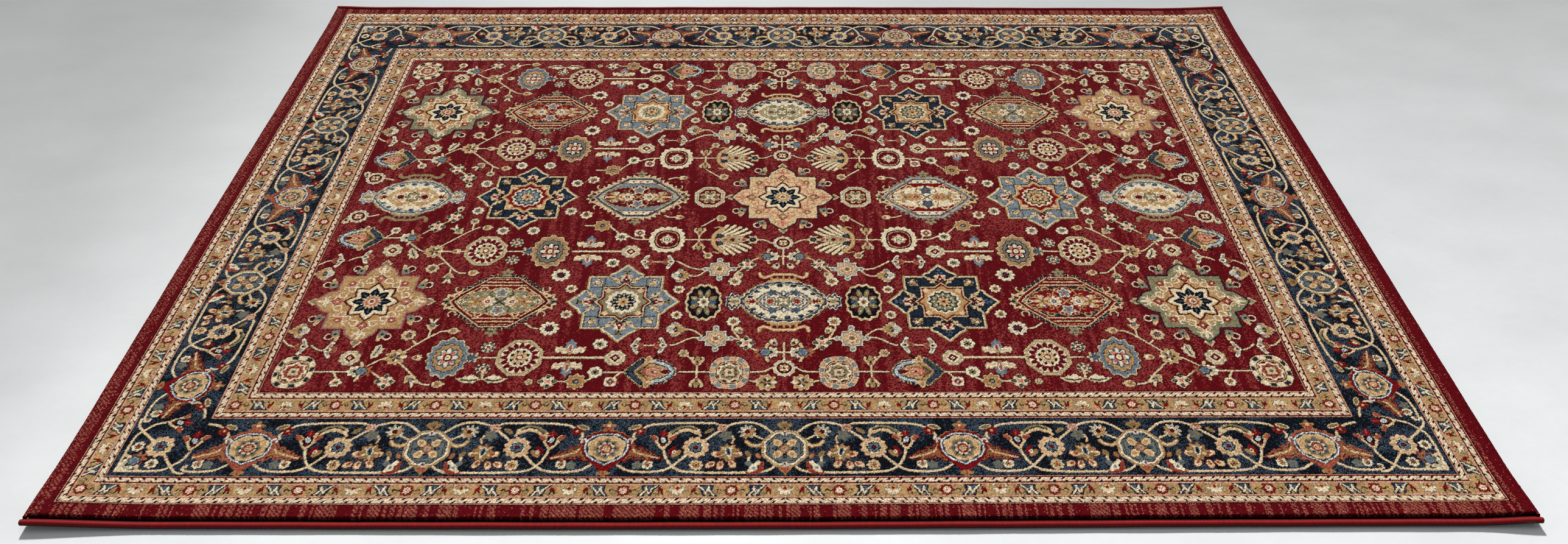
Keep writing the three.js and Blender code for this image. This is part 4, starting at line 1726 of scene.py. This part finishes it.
def laid(points):
    """Moves flat points to where they lie: corners lift a little, and the edges wander."""
    x, y, z = points.T
    along, across = x / RUG_HALF_LENGTH, y / SERGING_Y
    lift = 0
    for sign_x, sign_y, height, reach in CORNER_LIFTS:
        away = np.hypot(x - sign_x * RUG_HALF_LENGTH, y - sign_y * SERGING_Y)
        lift = lift + height * np.exp(-((away / reach) ** 2))
    edge = np.clip(abs(across), 0, 1) ** 8
    lift = lift + RIPPLE * edge * (1 + np.sin(x / 97 + 2 * across) * np.sin(x / 41))
    end = np.clip(abs(along), 0, 1) ** 10
    lift = lift + RIPPLE * end * (1 + np.sin(y / 83 + 3 * along) * np.sin(y / 37))
    shift_y = SIDE_DRIFT * np.sin(x / 430 + 1.2 * np.sign(y)) * abs(across) ** 3
    shift_x = END_DRIFT * np.sin(y / 310 + 0.8 * np.sign(x)) * abs(along) ** 3
    return np.stack([x + shift_x, y + shift_y, z + lift], axis=1)


# ---------------------------------------------------------------- meshes


def linear(colour):
    """sRGB 0 to 255 as the linear values that Blender works with."""
    share = np.asarray(colour, float) / 255
    return np.where(share <= 0.04045, share / 12.92, ((share + 0.055) / 1.055) ** 2.4)


def new_piece(name, points, faces, material, colours=None):
    """A mesh from points in millimetres and four-cornered faces."""
    mesh = bpy.data.meshes.new(name)
    mesh.vertices.add(len(points))
    mesh.vertices.foreach_set("co", (laid(points) * MM).astype(np.float32).ravel())
    mesh.loops.add(faces.size)
    mesh.loops.foreach_set("vertex_index", faces.astype(np.int32).ravel())
    mesh.polygons.add(len(faces))
    mesh.polygons.foreach_set("loop_start", np.arange(0, faces.size, 4, dtype=np.int32))
    mesh.polygons.foreach_set("use_smooth", np.full(len(faces), True))
    mesh.update(calc_edges=True)
    if colours is not None:
        attribute = mesh.color_attributes.new("yarn", "BYTE_COLOR", "POINT")
        opaque = np.concatenate([colours, np.ones((len(colours), 1))], axis=1)
        attribute.data.foreach_set("color", opaque.astype(np.float32).ravel())
    mesh.materials.append(material)
    piece = bpy.data.objects.new(name, mesh)
    bpy.context.scene.collection.objects.link(piece)
    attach(piece, "root")
    return piece


def cells_of(numbers):
    """The corners of each cell of a grid of numbered points."""
    below, above = numbers[:-1], numbers[1:]
    return np.stack([below[:, :-1], below[:, 1:], above[:, 1:], above[:, :-1]], -1)


def grid_faces(rows, columns, wrap=False):
    """Faces of a grid of points; wrap joins the last row to the first."""
    numbers = np.arange(rows * columns).reshape(rows, columns)
    if wrap:
        numbers = np.concatenate([numbers, numbers[:1]])
    return cells_of(numbers).reshape(-1, 4)


def slab_piece(name, half_x, half_y, bottom, thickness, material, middle_x=0.0, step=16.0):
    """A closed slab in cells about one step long, so that it can follow the lie of the rug."""
    columns = max(2, round(2 * half_x / step) + 1)
    rows = max(2, round(2 * half_y / step) + 1)
    xs = np.linspace(-half_x, half_x, columns) + middle_x
    ys = np.linspace(-half_y, half_y, rows)
    x, y = np.meshgrid(xs, ys)
    low = np.stack([x, y, np.full(x.shape, bottom)], -1).reshape(-1, 3)
    high = low + [0, 0, thickness]
    faces = grid_faces(rows, columns)
    count = rows * columns
    numbers = np.arange(count).reshape(rows, columns)
    rim = np.concatenate([numbers[0, :-1], numbers[:-1, -1], numbers[-1, :0:-1], numbers[:0:-1, 0]])
    after = np.roll(rim, -1)
    walls = np.stack([rim, after, after + count, rim + count], -1)
    all_faces = np.concatenate([faces[:, ::-1], faces + count, walls])
    return new_piece(name, np.concatenate([low, high]), all_faces, material)


# ---------------------------------------------------------------- materials


class Nodes:
    """A material's node tree, built by short calls."""

    def __init__(self, name):
        self.material = bpy.data.materials.new(name)
        self.material.use_nodes = True
        self.tree = self.material.node_tree
        self.shader = self.tree.nodes["Principled BSDF"]

    def add(self, kind, inputs=(), **settings):
        node = self.tree.nodes.new(kind)
        for key, value in settings.items():
            setattr(node, key, value)
        for key, value in dict(inputs).items():
            self.feed(node.inputs[key], value)
        return node

    def feed(self, socket, value):
        if isinstance(value, bpy.types.NodeSocket):
            self.tree.links.new(value, socket)
        else:
            socket.default_value = value

    def place(self, scale=1.0, stretch=(1, 1, 1)):
        """Object coordinates in millimetres, times scale and stretched along each axis."""
        where = self.add("ShaderNodeTexCoord").outputs["Object"]
        size = [scale * k / MM for k in stretch]
        return self.add("ShaderNodeMapping", {"Vector": where, "Scale": size}).outputs[0]

    def noise(self, scale, detail=2.0, stretch=(1, 1, 1)):
        inputs = {"Vector": self.place(scale, stretch), "Scale": 1.0, "Detail": detail}
        return self.add("ShaderNodeTexNoise", inputs).outputs["Fac"]

    def math(self, operation, a, b=0.0):
        node = self.add("ShaderNodeMath", operation=operation)
        self.feed(node.inputs[0], a)
        self.feed(node.inputs[1], b)
        return node.outputs[0]

    def spread(self, value, low, high, start=0.0, end=1.0, **settings):
        """value, from start to end, spread over low to high."""
        inputs = {"Value": value, "From Min": start, "From Max": end, "To Min": low, "To Max": high}
        return self.add("ShaderNodeMapRange", inputs, **settings).outputs[0]

    def scaled(self, colour, factor):
        """colour times a number."""
        node = self.add("ShaderNodeVectorMath", operation="SCALE")
        self.feed(node.inputs[0], colour)
        self.feed(node.inputs["Scale"], factor)
        return node.outputs[0]

    def plain(self, colour):
        """One colour, sRGB 0 to 255."""
        node = self.add("ShaderNodeRGB")
        node.outputs[0].default_value = rgba(colour)
        return node.outputs[0]

    def yarn(self):
        """The colour stored at each point of the mesh."""
        return self.add("ShaderNodeAttribute", attribute_name="yarn").outputs["Color"]

    def bump(self, height, distance, strength=1.0):
        inputs = {"Height": height, "Distance": distance * MM, "Strength": strength}
        self.feed(self.shader.inputs["Normal"], self.add("ShaderNodeBump", inputs).outputs[0])

    def finish(self, colour, roughness, specular):
        self.feed(self.shader.inputs["Base Color"], colour)
        self.feed(self.shader.inputs["Roughness"], roughness)
        self.shader.inputs["Specular IOR Level"].default_value = specular
        return self.material


def rgba(colour):
    return (*linear(colour), 1.0)


def pile_material():
    """Cut pile: the yarn colour of each tuft, with fibres and shaded gaps between tufts."""
    n = Nodes("cut_pile")
    tufts = {"Vector": n.place(1 / TUFT_PITCH), "Scale": 1.0, "Randomness": 0.55}
    gap = n.add("ShaderNodeTexVoronoi", tufts).outputs["Distance"]
    fibres = n.noise(1.6, 3.0)
    shade = n.math("MULTIPLY", n.spread(gap, 1.3, 0.55), n.spread(fibres, 0.6, 1.4))
    height = n.math("ADD", n.spread(gap, 1.0, 0.0), n.math("MULTIPLY", fibres, 0.6))
    n.bump(height, 0.9, 0.8)
    return n.finish(n.scaled(n.yarn(), shade), n.spread(fibres, 0.8, 0.98), specular=0.06)


def serging_material():
    n = Nodes("serging_yarn")
    fibres = n.noise(2.2, 3.0, (0.5, 1.5, 1.5))
    n.bump(fibres, 0.25, 0.7)
    return n.finish(n.scaled(n.yarn(), n.spread(fibres, 0.7, 1.3)), 0.6, specular=0.16)


def woven_material(name, warp, weft, pitch, roughness=0.9):
    """A plain weave: warp and weft threads that pass over each other."""
    n = Nodes(name)
    split = n.add("ShaderNodeSeparateXYZ", {"Vector": n.place(1 / pitch)})
    across = n.math("SINE", n.math("MULTIPLY", split.outputs["X"], math.pi))
    along = n.math("SINE", n.math("MULTIPLY", split.outputs["Y"], math.pi))
    over = n.math("GREATER_THAN", n.math("MULTIPLY", across, along), 0.0)
    ridge_x = n.math("ABSOLUTE", across)
    ridge_y = n.math("ABSOLUTE", along)
    mix = n.add("ShaderNodeMix", {"Factor": over, "A": ridge_x, "B": ridge_y})
    height = mix.outputs[0]
    fibres = n.noise(1.5 / pitch, 2.0)
    tint = n.add("ShaderNodeMix", data_type="RGBA")
    n.feed(tint.inputs["Factor"], over)
    n.feed(tint.inputs[6], rgba(warp))
    n.feed(tint.inputs[7], rgba(weft))
    shade = n.math("MULTIPLY", n.spread(height, 0.55, 1.1), n.spread(fibres, 0.8, 1.2))
    n.bump(height, 0.4)
    return n.finish(n.scaled(tint.outputs[2], shade), roughness, specular=0.2)


def thread_material(name, colour):
    n = Nodes(name)
    fibres = n.noise(2.5, 2.0)
    n.bump(fibres, 0.15)
    return n.finish(n.scaled(n.plain(colour), n.spread(fibres, 0.75, 1.2)), 0.75, specular=0.3)


FLOOR_GREY = (226, 228, 228)


def floor_material():
    """Pale polished concrete, faintly clouded; painted light and shade make it a little darker towards the
    back and the left.
    """
    n = Nodes("floor")
    clouds = n.noise(0.0035, 5.0, (1, 1.6, 1))
    grain = n.noise(0.05, 4.0)
    place = n.add("ShaderNodeSeparateXYZ", {"Vector": n.place()}).outputs
    front_to_back = n.spread(place["Y"], 1.16, 0.62, -1300.0, 1300.0)
    from_left = n.spread(place["X"], 0.74, 1.0, -1900.0, -1350.0, interpolation_type="SMOOTHSTEP")
    shade = n.math("MULTIPLY", n.spread(clouds, 0.88, 1.1), n.spread(grain, 0.97, 1.03))
    lit = n.math("MULTIPLY", front_to_back, from_left)
    n.bump(grain, 0.2, 0.2)
    return n.finish(n.scaled(n.plain(FLOOR_GREY), n.math("MULTIPLY", shade, lit)), 0.5, specular=0.3)


# ---------------------------------------------------------------- pile

PILE_SEED = 11
ROLL_SEED = 23
TUFT_SINK = 0.6  # how far an average tuft ends below the top of the CAD model's pile
TUFT_UNEVEN = 0.24
TUFT_STRAY = 0.16
DYE_SPREAD = 0.2
DYE_RANGE = (0.3, 1.6)
SUNKEN_SHARE = 0.06  # share of the tufts that stand in the shade of their neighbours
SUNKEN_SHADE = 0.45
ROW_SHADE = 0.06  # rows are lighter and darker in turn
CLUMP_TUFTS = 2  # tufts lean together in clumps of this many each way
CLUMP_SPREAD = 0.13
WALL_SHADE = 0.3  # of the pile's side, against its top
# Beside the serging the pile falls away: where that starts, over what width, and how deep; EDGE_SHADE is the
# painted shade there.
EDGE_REACH = 7.0
EDGE_SLOPE = 3.5
EDGE_DROP = 7.0
EDGE_SHADE = 0.97
# Where the pile turns down over a short end.
ROLL_SINK = 0.5  # below the top of the CAD model's pile
ROLL_TOP_RADIUS = 6.0
ROLL_FOOT_RADIUS = 2.0
ROLL_LOWEST = 0.15  # before the tufts' own unevenness
ROLL_CLEARANCE = 0.1  # above the floor
ROLL_BULGE = 0.25
ROLL_UNEVEN = 0.12
YARN_RAISE = {"ivory": 0.25, "cream": 0.2, "white": 0.25, "gold": 0.1, "ink": -0.25, "navy": -0.15}


def yarn_colours(tufts, rng):
    """The colour of each tuft: its yarn, lighter or darker from tuft to tuft and from row to row."""
    table = linear([YARNS[name] for name in NAMES])
    dye_and_shade = rng.normal(1.0, DYE_SPREAD, tufts.shape)
    clumps = rng.normal(0, CLUMP_SPREAD, [size // CLUMP_TUFTS + 1 for size in tufts.shape])
    clumps = clumps.repeat(CLUMP_TUFTS, 0).repeat(CLUMP_TUFTS, 1)
    dye_and_shade = dye_and_shade + clumps[: tufts.shape[0], : tufts.shape[1]]
    # Painted shade on the few tufts that stand in the shade of their neighbours.
    dye_and_shade = dye_and_shade * np.where(rng.random(tufts.shape) < SUNKEN_SHARE, SUNKEN_SHADE, 1.0)
    dye_and_shade = dye_and_shade * (1 + ROW_SHADE * (-1.0) ** np.arange(tufts.shape[0]))[:, None]
    return table[tufts] * np.clip(dye_and_shade, *DYE_RANGE)[..., None]


def edge_drop(y):
    """How far the cut pile falls away beside the serging: 0 on the rug, 1 at its last row."""
    distance = EDGES["margin"][1] - abs(y)
    return np.clip((EDGE_REACH - distance) / EDGE_SLOPE, 0, 1)


def pile_surface(paper, rng):
    raised = np.array([YARN_RAISE.get(name, 0.0) for name in NAMES])
    uneven = rng.normal(0, TUFT_UNEVEN, paper.tufts.shape)
    height = PILE_TOP - TUFT_SINK + raised[paper.tufts] + uneven
    half_length, half_width = EDGES["margin"]
    xs = np.clip(paper.x, -half_length, half_length)
    ys = np.clip(paper.y, -half_width, half_width)
    x, y = np.meshgrid(xs, ys)
    height = height - EDGE_DROP * edge_drop(y)
    jitter = rng.normal(0, TUFT_STRAY, (2, *paper.tufts.shape))
    jitter[:, abs(x) >= half_length] = 0
    return np.stack([x + jitter[0], y + jitter[1], height], -1)


def cut_zone(name, paper, surface, colours, cells, material):
    """The part of the pile surface whose cells are chosen, with walls down to the ground."""
    rows, columns = paper.tufts.shape
    numbers = np.arange(rows * columns).reshape(rows, columns)
    corners = cells_of(numbers)
    faces = corners[cells]
    # The zone's rim: cell edges whose neighbour is not in the zone.
    padded = np.pad(cells, 1)
    rim = []
    for first, second, step_row, step_column in ((0, 1, -1, 0), (1, 2, 0, 1), (2, 3, 1, 0), (3, 0, 0, -1)):
        neighbour = padded[1 + step_row : rows + step_row, 1 + step_column : columns + step_column]
        edge = cells & ~neighbour
        rim.append(corners[edge][:, [first, second]])
    rim = np.concatenate(rim)
    used, faces = np.unique(faces, return_inverse=True)
    faces = faces.reshape(-1, 4)
    lookup = np.zeros(rows * columns, int)
    lookup[used] = np.arange(len(used))
    rim = lookup[rim]
    top = surface.reshape(-1, 3)[used]
    shade = colours.reshape(-1, 3)[used]
    rim_points, rim = np.unique(rim, return_inverse=True)
    rim = rim.reshape(-1, 2)
    foot = top[rim_points].copy()
    foot[:, 2] = PILE_BOTTOM
    base = len(top)
    walls = np.stack([rim_points[rim[:, 1]], rim_points[rim[:, 0]], base + rim[:, 0], base + rim[:, 1]], -1)
    # The walls take the top's colours darkened by WALL_SHADE, painted shade on the pile's side.
    return new_piece(
        name,
        np.concatenate([top, foot]),
        np.concatenate([faces, walls]),
        material,
        np.concatenate([shade, shade[rim_points] * WALL_SHADE]),
    )


def build_pile(paper, material):
    rng = np.random.default_rng(PILE_SEED)
    surface = pile_surface(paper, rng)
    colours = yarn_colours(paper.tufts, rng)
    # Painted shade: the pile is darkened nearly to black where it falls away beside the serging.
    colours = colours * (1 - EDGE_SHADE * edge_drop(paper.y))[:, None, None]
    x, y = np.meshgrid(paper.x[:-1] + TUFT_PITCH / 2, paper.y[:-1] + TUFT_PITCH / 2)
    pieces = {}
    inner = np.zeros(x.shape, bool)
    for zone in ZONES:
        half_length, half_width = EDGES[zone]
        if zone == "margin":
            half_length, half_width = half_length + TUFT_PITCH / 2, half_width + TUFT_PITCH / 2
        covered = (abs(x) <= half_length) & (abs(y) <= half_width)
        cells = covered & ~inner
        inner = covered
        if zone == "field":
            pieces["field_pile"] = cut_zone("pile_field", paper, surface, colours, cells, material)
            continue
        on_end = abs(x) - EDGES["field"][0] > abs(y) - EDGES["field"][1]
        for side, chosen in (
            ("front", ~on_end & (y < 0)),
            ("right", on_end & (x > 0)),
            ("back", ~on_end & (y > 0)),
            ("left", on_end & (x < 0)),
        ):
            piece = cut_zone(f"pile_{zone}_{side}", paper, surface, colours, cells & chosen, material)
            pieces[f"{zone}_pile_{side}"] = piece
    return pieces


def roll_profile(distance):
    """Where the pile turns down over the folded end: (outward, height) after a distance along it."""
    reach = RUG_HALF_LENGTH - EDGES["margin"][0]
    straight = reach - ROLL_TOP_RADIUS
    quarter = ROLL_TOP_RADIUS * math.pi / 2
    top = PILE_TOP - ROLL_SINK
    drop = top - ROLL_TOP_RADIUS - ROLL_FOOT_RADIUS
    foot = ROLL_FOOT_RADIUS * math.pi / 2
    angle = np.clip((distance - straight) / ROLL_TOP_RADIUS, 0, math.pi / 2)
    outward = np.minimum(distance, straight) + ROLL_TOP_RADIUS * np.sin(angle)
    height = top - ROLL_TOP_RADIUS * (1 - np.cos(angle))
    height = height - np.clip(distance - straight - quarter, 0, drop)
    turn = np.clip((distance - straight - quarter - drop) / ROLL_FOOT_RADIUS, 0, math.pi / 2)
    outward = outward - ROLL_FOOT_RADIUS * (1 - np.cos(turn))
    height = height - ROLL_FOOT_RADIUS * np.sin(turn)
    under = np.clip(distance - straight - quarter - drop - foot, 0, reach - 2 * ROLL_FOOT_RADIUS)
    return outward - under, np.maximum(height, ROLL_LOWEST)


def build_end_roll(paper, side, sign, material):
    """The last rows of pile, turned down over the folded end of the ground."""
    rng = np.random.default_rng(ROLL_SEED + sign)
    half_length, half_width = EDGES["margin"]
    columns = np.flatnonzero(sign * paper.x >= half_length - TUFT_PITCH / 2)
    columns = columns if sign > 0 else columns[::-1]
    distance = (sign * paper.x[columns] - half_length).clip(0)
    outward, height = roll_profile(distance)
    y = np.clip(paper.y, -half_width, half_width)
    shape = (len(y), len(columns))
    bulge = rng.normal(0, ROLL_BULGE, shape)
    bulge[:, 0] = 0
    x = sign * (half_length + np.minimum(outward[None, :] + bulge, RUG_HALF_LENGTH - half_length))
    z = np.maximum(height[None, :] + rng.normal(0, ROLL_UNEVEN, shape), ROLL_CLEARANCE)
    points = np.stack([x, np.repeat(y[:, None], shape[1], 1), z], -1).reshape(-1, 3)
    faces = grid_faces(*shape)
    faces = faces if sign > 0 else faces[:, ::-1]
    colours = yarn_colours(paper.tufts[:, columns], rng).reshape(-1, 3)
    return new_piece(f"pile_end_roll_{side}", points, faces, material, colours)


# ---------------------------------------------------------------- serging, cords, seams

SERGING_SEED = 31
WRAP_PITCH = 1.5
WRAP_SINK = 0.95  # depth of the grooves between the turns of yarn
WRAP_RISE = 0.75  # height of each turn above its groove
WRAP_UNEVEN = 0.12  # how much the turns differ in height
WRAP_UNEVEN_MOST = 0.2
WRAP_STEPS = 4  # rings of points in each turn
WRAP_END = 0.3  # between the last turn and the rug's end
GROOVE_SHADE = 0.62  # of a groove, against the back of a turn
SERGING_LOWEST = 0.05
TURNS = 4000  # more than one side has
MIDDLE_TURN = 1500
HEM_GAP = 0.4  # between the wraps and the cut edge of the ground
HEM_FACE = 0.75  # how squarely a point of a wrap has to face the rug to count as its flat side
SERGING_RED = (146, 18, 22)
BARE_CORD = (150, 146, 138)
CORD_TWIST = 26  # length of one twist of the filler cord
CORD_GROOVE = 0.14  # depth between two strands, as a share of the cord's radius
WORN_FROM_END = 26
WORN_HALF_LENGTH = 12


def tube_points(half_length, step, radius_at, around, middle_y):
    """Rings of points round the serging's axis; radius_at takes the place along and the angle."""
    xs = np.arange(-half_length, half_length + step / 2, step)
    angles = np.arange(around) * 2 * math.pi / around
    x, angle = np.meshgrid(xs, angles)
    radius = radius_at(x, angle)
    points = np.stack([x, middle_y + radius * np.cos(angle), SERGING_RADIUS + radius * np.sin(angle)], -1)
    return points.reshape(-1, 3), grid_faces(around, len(xs), wrap=True), x, angle


def turn_at(x, angle):
    """The number of the turn of yarn at a point; its fraction runs across the turn."""
    return (x + 0.5 * WRAP_PITCH * np.sin(angle)) / WRAP_PITCH + MIDDLE_TURN


def arch(turn):
    """The round back of a turn of yarn: 0 in the groove, 1 on its top."""
    return np.sqrt(np.clip(1 - (2 * (turn % 1) - 1) ** 2, 0, 1))


def worn_share(x, angle, rng):
    """Where the yarn has worn off the cord, low on the front near its right end."""
    along = (x - (RUG_HALF_LENGTH - WORN_FROM_END)) / WORN_HALF_LENGTH
    from_middle = np.hypot(along, (angle - 1.15 * math.pi) / 0.7)
    return np.clip(1.4 - from_middle + rng.normal(0, 0.25, x.shape), 0, 1)


def build_serging(side, sign, material):
    """Yarn wound over the cord, turn beside turn, and drawn in to the edge of the ground."""
    rng = np.random.default_rng(SERGING_SEED + sign)
    odds = rng.normal(0, 1, TURNS)

    def radius_at(x, angle):
        turn = turn_at(x, angle)
        swell = (WRAP_UNEVEN * odds[turn.astype(int)]).clip(-WRAP_UNEVEN_MOST, WRAP_UNEVEN_MOST)
        round_radius = SERGING_RADIUS - WRAP_SINK + WRAP_RISE * arch(turn) + swell
        # The side towards the rug is flat where it meets the ground's edge.
        inwards = -sign * np.cos(angle)
        at_hem = (inwards > HEM_FACE) & (np.sin(angle) < 0.1)
        flat_radius = (SERGING_Y - EDGES["margin"][1] - HEM_GAP) / np.maximum(inwards, HEM_FACE)
        return np.where(at_hem, np.maximum(round_radius, flat_radius), round_radius)

    half_length, step = RUG_HALF_LENGTH - WRAP_END, WRAP_PITCH / WRAP_STEPS
    points, faces, x, angle = tube_points(half_length, step, radius_at, 20, sign * SERGING_Y)
    turn = turn_at(x, angle)
    groove = GROOVE_SHADE + (1 - GROOVE_SHADE) * arch(turn)
    dye_and_shade = (1 + 0.09 * odds[turn.astype(int)]).clip(0.75, 1.3) * groove
    # Painted shade: the lower half is darker, most of all at the bottom.
    dye_and_shade = dye_and_shade * np.clip(0.2 + 0.9 * np.sin(angle), 0.06, 1)
    colours = linear(SERGING_RED)[None, :] * dye_and_shade.reshape(-1, 1)
    if side == "front":
        worn = worn_share(x, angle, rng).reshape(-1, 1)
        colours = colours * (1 - worn) + linear(BARE_CORD)[None, :] * worn * dye_and_shade.reshape(-1, 1)
    points[:, 2] = points[:, 2].clip(SERGING_LOWEST)
    return new_piece(f"serging_yarn_{side}", points, faces[:, ::-1], material, colours)


def build_cord(side, sign, material):
    """Three strands twisted into the filler cord."""

    def radius_at(x, angle):
        strand = abs(np.cos(1.5 * angle + x * 2 * math.pi / CORD_TWIST))
        return CORD_RADIUS * (1 - CORD_GROOVE + CORD_GROOVE * strand)

    points, faces, _, _ = tube_points(RUG_HALF_LENGTH, 4.0, radius_at, 18, sign * SERGING_Y)
    return new_piece(f"cord_twist_{side}", points, faces[:, ::-1], material)


STITCH_LENGTH = 7.0
STITCH_SHARE = 0.82  # the rest is the gap before the next stitch


def build_seam(side, material):
    """A row of stitches that holds the folded end of the tape."""
    low, high = cad_box(f"tape_seam_{side}")
    middle_x, half_width = (low[0] + high[0]) / 2, high[1]
    radius = (high[0] - low[0]) / 2
    count = int(2 * half_width / STITCH_LENGTH)
    steps, around = 7, 6
    bow = np.linspace(0, 1, steps)
    angles = np.arange(around) * 2 * math.pi / around
    starts = -half_width + (np.arange(count) + 0.5) * 2 * half_width / count
    y = starts[:, None, None] + (bow[None, None, :] - 0.5) * STITCH_LENGTH * STITCH_SHARE
    thick = radius * (0.35 + 0.65 * np.sin(bow * math.pi) ** 0.5)[None, None, :]
    x = middle_x + thick * np.cos(angles)[None, :, None] + 0 * y
    z = radius * 1.1 + thick * np.sin(angles)[None, :, None] + 0 * y
    y = y + 0 * x
    points = np.stack([x, y, z], -1).reshape(-1, 3)
    one = grid_faces(around, steps, wrap=True)
    faces = (one[None] + (np.arange(count) * around * steps)[:, None, None]).reshape(-1, 4)
    return new_piece(f"tape_stitches_{side}", points, faces, material)


# ---------------------------------------------------------------- assembly

ENDS = (("left", -1), ("right", 1))
LONG_SIDES = (("front", -1), ("back", 1))
TURNED_DOWN = 14  # pile beyond the rug's plan at each end, which goes down over the fold
TAPE_BOTTOM = 0.05
COAT_BOTTOM = 0.02

paper = weave_pattern(sizes, RUG_HALF_LENGTH + TURNED_DOWN, EDGES["margin"][1] + 1, TUFT_PITCH)
pile = pile_material()
pieces = build_pile(paper, pile)
for side, sign in ENDS:
    pieces[f"end_roll_pile_{side}"] = build_end_roll(paper, side, sign, pile)

serging = serging_material()
cord_fibre = thread_material("cord_fibre", (214, 203, 178))
for side, sign in LONG_SIDES:
    pieces[f"serging_{side}"] = build_serging(side, sign, serging)
    pieces[f"edge_cord_{side}"] = build_cord(side, sign, cord_fibre)

seam_thread = thread_material("seam_thread", (122, 28, 34))
tape_cloth = woven_material("tape_cloth", (206, 194, 168), (188, 174, 146), 0.8)
for side, _ in ENDS:
    low, high = cad_box(f"end_tape_{side}")
    half_x, middle_x = (high[0] - low[0]) / 2, (low[0] + high[0]) / 2
    thickness = high[2] - TAPE_BOTTOM
    pieces[f"end_tape_{side}"] = slab_piece(
        f"tape_{side}", half_x, high[1], TAPE_BOTTOM, thickness, tape_cloth, middle_x, step=8.0
    )
    pieces[f"tape_seam_{side}"] = build_seam(side, seam_thread)

ground_low, ground_high = cad_box("woven_ground")
ground_cloth = woven_material("ground_cloth", (150, 124, 84), (176, 156, 116), 2.0)
thickness = ground_high[2] - ground_low[2]
ground = slab_piece("ground_cloth", ground_high[0], ground_high[1], ground_low[2], thickness, ground_cloth)
pieces["woven_ground"] = ground

half_x, half_y, top = cad_box("back_coat")[1]
coat_surface = woven_material("back_coat", (186, 170, 138), (202, 188, 158), 2.4, roughness=0.8)
thickness = top - COAT_BOTTOM
pieces["back_coat"] = slab_piece("backing", half_x, half_y, COAT_BOTTOM, thickness, coat_surface)

for node, piece in pieces.items():
    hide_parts(node)


# ---------------------------------------------------------------- floor, light, camera


FLOOR_HALF = 9.0  # m
FLOOR_LEVEL = -0.0003  # m, just below the rug
SKY = (0.96, 0.98, 1.0)
SKY_STRENGTH = 0.2
SUN_ANGLE = 5  # how wide the sun looks, in degrees
# The viewpoint was solved from the rug's four border rectangles.
CAMERA_PLACE = (-18.2, -2262.0, 1751.2)  # from the middle of the top of the pile
CAMERA_TURN = (-0.571, 41.647, 0.357)  # to the left, down and clockwise, in degrees
FOCAL_LENGTH = 25.26
SENSOR_WIDTH = 36.0


def build_floor():
    mesh = bpy.data.meshes.new("floor")
    quarters = ((-1, -1), (1, -1), (1, 1), (-1, 1))
    corners = [(x * FLOOR_HALF, y * FLOOR_HALF, FLOOR_LEVEL) for x, y in quarters]
    mesh.from_pydata(corners, [], [(0, 1, 2, 3)])
    mesh.materials.append(floor_material())
    floor = bpy.data.objects.new("floor", mesh)
    bpy.context.scene.collection.objects.link(floor)
    return floor


def area_light(name, place, target, width, depth, power):
    data = bpy.data.lights.new(name, "AREA")
    data.shape = "RECTANGLE"
    data.size, data.size_y = width, depth
    data.energy = power
    light = bpy.data.objects.new(name, data)
    light.location = place
    light.rotation_euler = (Vector(target) - Vector(place)).to_track_quat("-Z", "Y").to_euler()
    bpy.context.scene.collection.objects.link(light)


def soft_sun(name, towards_light, strength):
    """An even light from one direction, which draws the rug's edge on the floor."""
    data = bpy.data.lights.new(name, "SUN")
    data.energy = strength
    data.angle = math.radians(SUN_ANGLE)
    light = bpy.data.objects.new(name, data)
    light.rotation_euler = Vector(towards_light).to_track_quat("Z", "Y").to_euler()
    bpy.context.scene.collection.objects.link(light)


def build_world():
    world = bpy.data.worlds.new("studio")
    world.use_nodes = True
    background = world.node_tree.nodes["Background"]
    background.inputs["Color"].default_value = (*SKY, 1.0)
    background.inputs["Strength"].default_value = SKY_STRENGTH
    bpy.context.scene.world = world


def build_camera():
    """The viewpoint: over the front long side, a little left of the middle, looking down at the rug."""
    yaw, pitch, roll = (math.radians(angle) for angle in CAMERA_TURN)
    ahead = math.cos(pitch)
    forward = Vector((-math.sin(yaw) * ahead, math.cos(yaw) * ahead, -math.sin(pitch)))
    level = Vector((math.cos(yaw), math.sin(yaw), 0))
    upright = level.cross(forward)
    right = level * math.cos(roll) + upright * math.sin(roll)
    up = upright * math.cos(roll) - level * math.sin(roll)
    data = bpy.data.cameras.new("camera")
    data.sensor_width = SENSOR_WIDTH
    data.lens = FOCAL_LENGTH
    camera = bpy.data.objects.new("camera", data)
    x, y, z = CAMERA_PLACE
    place = Vector((x, y, z + PILE_TOP)) * MM
    rows = [(*axes, offset) for *axes, offset in zip(right, up, -forward, place)]
    camera.matrix_world = Matrix([*rows, (0, 0, 0, 1)])
    bpy.context.scene.collection.objects.link(camera)
    bpy.context.scene.camera = camera


floor = build_floor()
build_world()
area_light("overhead", place=(0.2, 0.3, 5.2), target=(0, 0.1, 0), width=5.5, depth=3.0, power=42)
soft_sun("window", towards_light=(-0.12, 1.0, 0.95), strength=3.4)
build_camera()
bpy.context.scene.view_settings.view_transform = "Standard"
